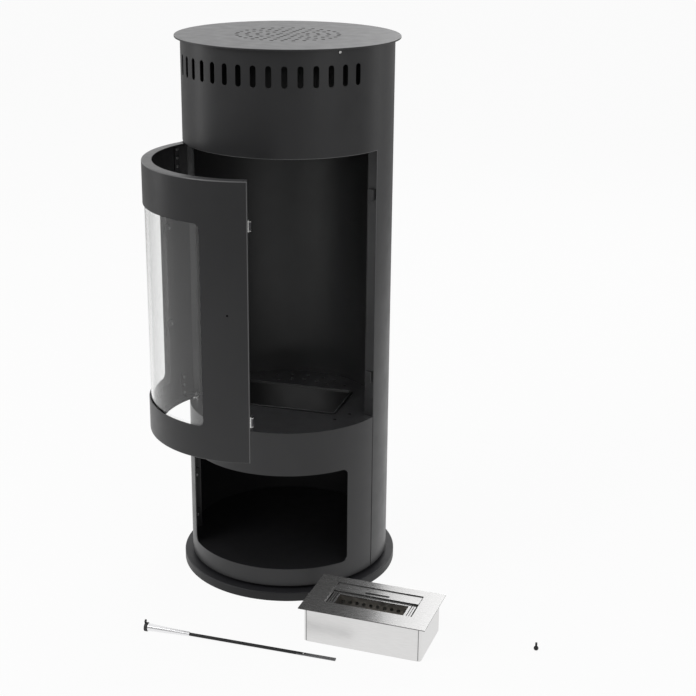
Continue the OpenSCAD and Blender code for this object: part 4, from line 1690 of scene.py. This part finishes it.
@dataclass
class Burner:
    """The lift-out stainless burner as it stands on the floor."""

    x: float = 250.0
    y: float = -280.0
    plate_w: float = 240.0
    plate_d: float = 140.0
    height: float = 70.0
    plate_t: float = 1.5
    plate_corner: float = 1.2
    tank_w: float = 223.0
    tank_d: float = 123.0
    tank_t: float = 1.2
    tank_corner: float = 6.0
    seam_w: float = 1.5
    seam_deep: float = 0.9
    seam_start: float = 0.15
    seam_low: float = 2.0
    seam_drop: float = 1.0
    seam_edge: float = 0.1
    plate_edge: float = 0.35
    guide_edge: float = 0.15
    shutter_edge: float = 0.2
    recess_half: float = 83.5
    recess_front: float = -30.0
    recess_back: float = 49.0
    recess_corner: float = 1.0
    guide_half: float = 89.5
    guide_front: float = -36.0
    guide_back: float = 59.3
    ledge_top: float = 66.4
    slot_back: float = 16.5
    slot_inset: float = 0.6
    slots: tuple[tuple[float, float], ...] = ((81.0, 2.6), (76.0, 1.2), (71.5, 1.6))
    trough_half: float = 67.0
    trough_front: float = -28.0
    trough_back: float = 12.0
    trough_low: float = 41.2
    trough_top: float = 65.2
    trough_t: float = 1.0
    trough_corner: float = 1.5
    holes: int = 10
    hole_d: float = 7.0
    hole_sides: int = 18
    wool_gap: float = 1.0
    wool_corner: float = 4.8
    wool_edge: float = 2.0
    shutter_half: float = 81.8
    shutter_low: float = 66.7
    shutter_top: float = 68.2
    shutter_front: float = 18.5
    shutter_back: float = 58.5
    lip_w: float = 2.2
    lip_h: float = 1.3
    slit_half: float = 23.5
    slit_start: float = 7.0
    slit_end: float = 10.2
    slit_corner: float = 1.4
    lip_start: float = 10.6

    def build(self) -> None:
        """Builds all of the burner's pieces."""
        self._build_tank()
        self._build_plate()
        self._build_guide()
        self._build_trough()
        self._build_wool()
        self._build_shutter()

    def _place(self, piece: Piece) -> Piece:
        """Moves a piece to the burner's place and turn on the floor."""
        return placed(piece, shift(self.x, self.y) @ turn(BURNER_TURN, "Z"))

    def _finish(self, piece: Piece, body: Body, finish: Finish, node: str) -> None:
        """Puts a piece in its place, shades it and hands it over."""
        hand_over(smooth(self._place(piece)), body, finish, node)

    def _build_tank(self) -> None:
        """Builds the folded tank, open at the top, with a seam near both front corners and a dark
        strip in each seam that paints its shade.
        """
        half_w, half_d, top = self.tank_w / 2, self.tank_d / 2, self.height - self.plate_t
        low, high = (-half_w, -half_d, 0), (half_w, half_d, top)
        tank = rounded_block("folded_tank", low, high, self.tank_corner, Z)
        bevel_edges(tank, lambda a, b: max(a.z, b.z) < NEAR, self.tank_t)
        remove_faces(tank, lambda c, n: n.z > FACING and c.z > top - NEAR)
        thicken(tank, self.tank_t)
        back, seam_top = -half_d + self.seam_deep, top - self.seam_drop
        grooves, shade_fills = [], []
        left = -half_w + self.tank_corner - self.seam_w
        for x in (left, -left - self.seam_w):
            for pieces, start in ((grooves, -OVER), (shade_fills, self.seam_start)):
                low, high = (x, -half_d + start, self.seam_low), (x + self.seam_w, back, seam_top)
                pieces.append(block("seam", low, high))
        carve(tank, *grooves)
        # Dark strips in the grooves: painted shade of the seams
        shade_strips = soften(joined(shade_fills, "tank_corner_shade_strips"), self.seam_edge, 1)
        hand_over(self._place(shade_strips), Body.BURNER, SHADED_ZINC)
        self._finish(tank, Body.BURNER, TANK_STEEL, "burner_tank")

    def _build_plate(self) -> None:
        """Builds the top plate with its opening."""
        half_w, half_d, low = self.plate_w / 2, self.plate_d / 2, self.height - self.plate_t
        corners = (-half_w, -half_d, low), (half_w, half_d, self.height)
        plate = rounded_block("burner_top_plate", *corners, self.plate_corner, Z, 3)
        front = (-self.recess_half, self.recess_front, low - OVER)
        back = (self.recess_half, self.recess_back, self.height + OVER)
        carve(plate, rounded_block("recess", front, back, self.recess_corner, Z, 3))
        soften(plate, self.plate_edge)
        self._finish(plate, Body.BURNER, PLATE_STEEL, "burner_plate")

    def _build_guide(self) -> None:
        """Builds the ledges that guide the shutter and hold the trough."""
        low, ledge, top = self.trough_top, self.ledge_top, self.height - self.plate_t
        corners = (-self.guide_half, self.guide_front, low), (self.guide_half, self.guide_back, top)
        guide = block("shutter_guide", *corners)
        pocket = (self.recess_half, self.guide_back + OVER, top + OVER)
        carve(guide, block("pocket", (-self.recess_half, self.recess_front, ledge), pocket))
        soften(guide, self.guide_edge, 1)
        wall = self.trough_t
        half, front, back = self.trough_half - wall, self.trough_front + wall, self.trough_back - wall
        slots = [block("mouth", (-half, front, low - OVER), (half, back, ledge + OVER))]
        front = self.recess_front + self.slot_inset
        for side in (-1, 1):
            for reach, width in self.slots:
                left, right = side * reach - width / 2, side * reach + width / 2
                corners = (left, front, low - OVER), (right, self.slot_back, top + OVER)
                slots.append(block("slot", *corners))
        carve(guide, *slots)
        self._finish(guide, Body.BURNER, PLATE_STEEL, "recess_frame")

    def _build_trough(self) -> None:
        """Builds the trough that holds the flames, with its rows of holes."""
        half, low = self.trough_half, self.trough_low
        high = (half, self.trough_back, self.trough_top)
        trough = block("flame_trough", (-half, self.trough_front, low), high)
        bevel_edges(trough, lambda a, b: max(a.z, b.z) < low + NEAR, self.trough_corner)
        remove_faces(trough, lambda c, n: n.z > FACING)
        thicken(trough, self.trough_t)
        middle = (self.trough_front + self.trough_back) / 2
        radius, sides = self.hole_d / 2, self.hole_sides
        wall_hole = rod("wall_hole", radius, -OVER, OVER, sides)
        up = (low + self.trough_top) / 2
        placed(wall_hole, shift(0, self.trough_back, up) @ turn(90, "X"))
        floor_hole = rod("floor_hole", radius, low - OVER, low + OVER, sides, (0.0, middle))
        step = 2 * half / self.holes
        places = [shift((i + 0.5) * step - half) for i in range(self.holes)]
        carve(trough, repeated(joined([wall_hole, floor_hole], "pair"), places, "holes"))
        self._finish(trough, Body.BURNER, TINTED, "fire_trough")

    def _build_wool(self) -> None:
        """Builds the fibre block in the tank."""
        inset = self.tank_t + self.wool_gap
        half_w, half_d = self.tank_w / 2 - inset, self.tank_d / 2 - inset
        low = (-half_w, -half_d, self.tank_t + NEAR)
        high = (half_w, half_d, self.trough_low - 2 * NEAR)
        wool = rounded_block("fibre_block", low, high, self.wool_corner, Z)
        self._finish(soften(wool, self.wool_edge, 3), Body.BURNER, WOOL, "absorbent_wool")

    def _build_shutter(self) -> None:
        """Builds the sliding shutter with its front lip, its slit and the lip behind that."""
        low, top, front = self.shutter_low, self.shutter_top, self.shutter_front
        corners = (-self.shutter_half, front, low), (self.shutter_half, self.shutter_back, top)
        shutter = block("sliding_shutter", *corners)
        lip, back_lip, half = front + self.lip_w, front + self.lip_start, self.slit_half
        lines = [(Y, lip), (Y, back_lip), (Y, back_lip + self.lip_w), (X, -half), (X, half)]
        cut_across(shutter, lines)
        pull_faces(
            shutter,
            lambda c, n: n.z > FACING
            and (c.y < lip or (back_lip < c.y < back_lip + self.lip_w and abs(c.x) < half)),
            (0, 0, self.lip_h),
        )
        start = (-half, front + self.slit_start, low - OVER)
        end = (half, front + self.slit_end, top + OVER)
        carve(shutter, rounded_block("slit", start, end, self.slit_corner, Z))
        soften(shutter, self.shutter_edge)
        self._finish(shutter, Body.SHUTTER, PLATE_STEEL, "burner_shutter")


@dataclass
class OperatingHook:
    """The loose tool that moves the burner's shutter, lying on the floor."""

    x: float = -156.0
    y: float = -385.0
    cap_d: float = 16.98
    cap_t: float = 6.0
    eye_radius: float = 3.5
    eye_hole_radius: float = 2.0
    eye_reach: float = 11.25
    eye_t: float = 2.0
    handle_len: float = 82.0
    handle_d: float = 14.0
    tip_d: float = 8.0
    rod_len: float = 218.0
    rod_d: float = 6.0
    ferrule_d: float = 5.6
    ferrule_len: float = 1.4
    blade_len: float = 61.0
    blade_w: float = 7.5
    blade_t: float = 2.5
    blade_inset: float = 0.02
    grip: float = 12.0
    cap_edge: float = 0.9
    handle_edge: float = 0.8
    rod_edge: float = 0.5
    ferrule_edge: float = 0.2
    blade_corner: float = 1.5
    blade_edge: float = 0.3

    def build(self) -> None:
        """Builds the cap, the handle, the rod, the ferrule and the blade."""
        rod_start = self.cap_t + self.handle_len
        self._finish(self._cap(), 0, PLASTIC, "hook_cap")
        radius, tip = self.handle_d / 2, self.tip_d / 2
        handle = rod("tapered_handle", radius, 0, self.handle_len, tip_radius=tip)
        placed(bevel_edges(handle, is_level, self.handle_edge), turn(90, "Y"))
        self._finish(handle, self.cap_t, CHROME, "hook_handle")
        shaft = rod("tool_rod", self.rod_d / 2, 0, self.rod_len, 32)
        bevel_edges(shaft, lambda a, b: min(a.z, b.z) > self.rod_len - NEAR, self.rod_edge, 2)
        self._slot(shaft, self.rod_len - self.grip, self.rod_len + OVER)
        self._finish(shaft, rod_start, DARK_SATIN, "hook_rod")
        far_end = self.rod_len + self.ferrule_len
        ferrule = rod("tool_ferrule", self.ferrule_d / 2, self.rod_len, far_end, 32)
        self._slot(ferrule, self.rod_len - OVER, self.rod_len + 2 * OVER)
        self._finish(soften(ferrule, self.ferrule_edge), rod_start, ZINC)
        blade_start = rod_start + self.rod_len - self.grip
        self._finish(self._blade(), blade_start, BLADE_STEEL, "hook_blade")

    def _finish(self, piece: Piece, start: float, finish: Finish, *nodes: str) -> None:
        """Shades a piece that lies along +X, puts it on the tool and hands it over.

        Args:
            piece: the piece.
            start: its distance from the tool's end.
            finish: its finish.
            nodes: the CAD node that it stands for, if there is one.
        """
        drop = (self.cap_d - self.rod_d) / 2
        tilt = math.atan(drop / (self.handle_len + self.rod_len))
        rise = self.cap_d / 2 * math.cos(tilt) + self.cap_t * math.sin(tilt)
        lying = shift(self.x, self.y, rise) @ turn(math.degrees(tilt), "Y")
        smooth(piece)
        hand_over(placed(piece, lying @ shift(start)), Body.HOOK, finish, *nodes)

    def _slot(self, piece: Piece, start: float, end: float) -> None:
        """Lays a round piece along +X and cuts the blade's slot into it.

        Args:
            piece: the piece, upright at the origin.
            start: where the slot starts.
            end: where it ends.
        """
        placed(piece, turn(90, "Y"))
        low, high = (start, -self.rod_d, -self.blade_t / 2), (end, self.rod_d, self.blade_t / 2)
        carve(piece, block("blade_slot", low, high))

    def _cap(self) -> Piece:
        """Models the cap with the eye that it hangs from.

        Returns:
            The cap, along +X.
        """
        cap = rod("tool_cap", self.cap_d / 2, 0, self.cap_t)
        bevel_edges(cap, is_level, self.cap_edge)
        spot = (-self.eye_reach, 0)
        combine(cap, [rod("eye", self.eye_radius, 0, self.eye_t, 30, spot)], "UNION")
        carve(cap, rod("eye_hole", self.eye_hole_radius, -OVER, self.eye_t + OVER, 24, spot))
        return placed(cap, turn(90, "Y"))

    def _blade(self) -> Piece:
        """Models the flat blade with its rounded tip.

        Returns:
            The blade, along +X.
        """
        tip, half_w = self.grip + self.blade_len, self.blade_w / 2
        half_t = self.blade_t / 2 - self.blade_inset
        blade = block("tool_blade", (0, -half_w, -half_t), (tip, half_w, half_t))
        far = tip - NEAR
        bevel_edges(blade, lambda a, b: runs_along(a, b, Z) and a.x > far, self.blade_corner, 4)
        return soften(blade, self.blade_edge)


@dataclass
class DoorKnob:
    """The loose round knob, standing on its head with its threaded stud up."""

    x: float = 549.0
    y: float = -245.0
    head_d: float = 8.96
    head_h: float = 7.5
    stud_d: float = 4.0
    stud_len: float = 7.3
    stud_inset: float = 0.5
    pitch: float = 0.7
    root_share: float = 0.84
    shading_limit: float = 35.0

    def build(self) -> None:
        """Builds the knob."""
        clear_selection()
        bpy.ops.mesh.primitive_uv_sphere_add(
            segments=40,
            ring_count=24,
            radius=self.head_d / 2 * MM,
            location=(0, 0, self.head_h / 2 * MM),
        )
        head = settle(bpy.context.object)
        with editing(head):
            for z, above in ((0.0, False), (self.head_h, True)):
                bpy.ops.mesh.select_all(action="SELECT")
                bpy.ops.mesh.bisect(
                    plane_co=(0, 0, z * MM),
                    plane_no=(0, 0, 1),
                    use_fill=True,
                    clear_inner=not above,
                    clear_outer=above,
                )
        knob = joined([head, self._stud()], "round_knob")
        smooth(placed(knob, shift(self.x, self.y)), self.shading_limit)
        hand_over(knob, Body.KNOB, DARK_SATIN, "door_knob")

    def _stud(self) -> Piece:
        """Models the stud, with a ring drawn in for each turn of its thread.

        Returns:
            The stud, above the head.
        """
        top = self.head_h + self.stud_len
        stud = rod("stud", self.stud_d / 2, self.head_h - self.stud_inset, top, 24)
        turns = int(self.stud_len / self.pitch)
        zs = [self.head_h + (i + 0.5) * self.pitch / 2 for i in range(2 * turns)]
        cut_across(stud, [(Z, z) for z in zs])
        roots = zs[::2]
        with editing(stud):
            pick(
                stud,
                "EDGE",
                lambda a, b: is_level(a, b) and any(abs(a.z - z) < NEAR for z in roots),
            )
            share = self.root_share
            bpy.ops.transform.resize(value=(share, share, 1.0), center_override=(0, 0, 0))
        return stud


# The studio

# The rays that show the studio itself, and those that also show its mirror image
DIRECT_RAYS = ("Is Camera Ray", "Is Transmission Ray")
MIRROR_RAYS = (*DIRECT_RAYS, "Is Glossy Ray")


@dataclass
class Studio:
    """The pale floor, the soft lamps and the camera at the photographed angle."""

    floor_half: float = 40.0
    floor_z: float = -0.2
    world_level: float = 0.5
    front_level: float = 0.4
    front_reach: float = -0.8
    floor_grey: float = 0.86
    floor_white: float = 0.93
    near_floor: float = 0.9
    far_floor: float = 3.2
    far_level: float = 0.35
    target: tuple[float, float, float] = (0.0, 0.0, 0.5)
    lens: float = 76.61
    sensor: float = 36.0
    camera_at: tuple[float, float, float] = (0.8507, -2.6151, 1.3950)
    pan: float = 15.606
    tilt: float = 70.9007
    roll: float = 0.5937

    def build(self) -> None:
        """Builds the floor, the world, the lamps and the camera."""
        self._build_world()
        self._build_floor()
        # Name, place in metres, width, height and power in watts of each soft box
        for lamp in (
            ("key_box", (-2.4, -2.6, 2.9), 2.2, 2.2, 52.0),
            ("fill_box", (2.9, -1.9, 1.6), 2.0, 2.0, 12.0),
            ("back_box", (0.4, 2.9, 2.6), 2.0, 2.0, 22.0),
            ("left_strip", (-2.7, -0.2, 1.1), 0.7, 2.0, 5.5),
            ("right_strip", (2.3, 1.6, 0.9), 0.6, 1.7, 2.5),
        ):
            self._build_lamp(*lamp)
        self._build_camera()
        bpy.context.scene.view_settings.view_transform = "Standard"

    def _build_world(self) -> None:
        """Builds a world that shows white and lights at a plain level.

        Mirrored in the object, the room behind the camera is darker than the rest.
        """
        world = bpy.data.worlds.new("studio_world")
        bpy.context.scene.world = world
        tree = Tree(world, "OutputWorld")
        light = tree.add("Background", {"Strength": self.world_level, "Color": WHITE})
        direction = tree.add("SeparateXYZ", {0: tree.add("TexCoord").outputs["Generated"]})
        room = tree.ramp(direction.outputs["Y"], self.front_reach, 0.0, self.front_level, 1.0)
        strength = tree.larger(room, tree.seen(*DIRECT_RAYS))
        white = tree.add("Background", {"Strength": strength, "Color": WHITE})
        seen = tree.seen(*MIRROR_RAYS)
        tree.show(tree.add("MixShader", {"Fac": seen, 1: light.outputs[0], 2: white.outputs[0]}))

    def _build_floor(self) -> None:
        """Builds the floor, which keeps the object's shadow on white.

        Mirrored in the object, the floor gets darker away from it.
        """
        clear_selection()
        size, place = 2 * self.floor_half, (0, 0, self.floor_z * MM)
        bpy.ops.mesh.primitive_plane_add(size=size, location=place)
        floor = bpy.context.object
        floor.name = "studio_floor"
        material = bpy.data.materials.new("studio_floor_paint")
        tree = Tree(material, "OutputMaterial")
        grey = rgba((1, 1, 1), self.floor_grey)
        paint = tree.add("BsdfDiffuse", {"Color": grey})
        place = tree.add("TexCoord").outputs["Object"]
        reach = tree.add("VectorMath", {0: place}, operation="LENGTH").outputs["Value"]
        fall = tree.ramp(reach, self.near_floor, self.far_floor, 1.0, self.far_level)
        strength = tree.larger(fall, tree.seen(*DIRECT_RAYS))
        white = tree.add("Emission", {"Strength": strength, "Color": WHITE})
        inputs = {0: tree.seen(*MIRROR_RAYS), 1: self.floor_white}
        share = tree.add("Math", inputs, operation="MULTIPLY").outputs[0]
        tree.show(tree.add("MixShader", {"Fac": share, 1: paint.outputs[0], 2: white.outputs[0]}))
        floor.data.materials.append(material)

    def _build_lamp(self, name: str, place: Point, wide: float, high: float, power: float) -> None:
        """Adds a soft box that looks at the object.

        Args:
            name: its name.
            place: its place in metres.
            wide: its width in metres.
            high: its height in metres.
            power: its power in watts.
        """
        data = bpy.data.lights.new(name, "AREA")
        data.shape = "RECTANGLE"
        data.size = wide
        data.size_y = high
        data.energy = power
        lamp = bpy.data.objects.new(name, data)
        bpy.context.collection.objects.link(lamp)
        lamp.location = place
        sight = Vector(self.target) - lamp.location
        lamp.rotation_euler = sight.to_track_quat("-Z", "Y").to_euler()

    def _build_camera(self) -> None:
        """Puts the camera where the photograph was taken from."""
        data = bpy.data.cameras.new("photo_camera")
        data.lens = self.lens
        data.sensor_width = self.sensor
        data.clip_end = 100.0
        camera = bpy.data.objects.new("photo_camera", data)
        bpy.context.collection.objects.link(camera)
        turns = turn(self.pan, "Z") @ turn(self.tilt, "X") @ turn(self.roll, "Z")
        camera.matrix_world = Matrix.Translation(self.camera_at) @ turns
        bpy.context.scene.camera = camera


def main() -> None:
    """Builds every sub-assembly in order."""
    for assembly in (
        DrumAndBody(),
        LowerPanel(),
        Plinth(),
        Lid(),
        Firebox(),
        StrikePads(),
        DoorSheet(),
        Glazing(),
        Hinges(),
        Catches(),
        Burner(),
        OperatingHook(),
        DoorKnob(),
        Studio(),
    ):
        assembly.build()


if __name__ == "__main__":
    main()
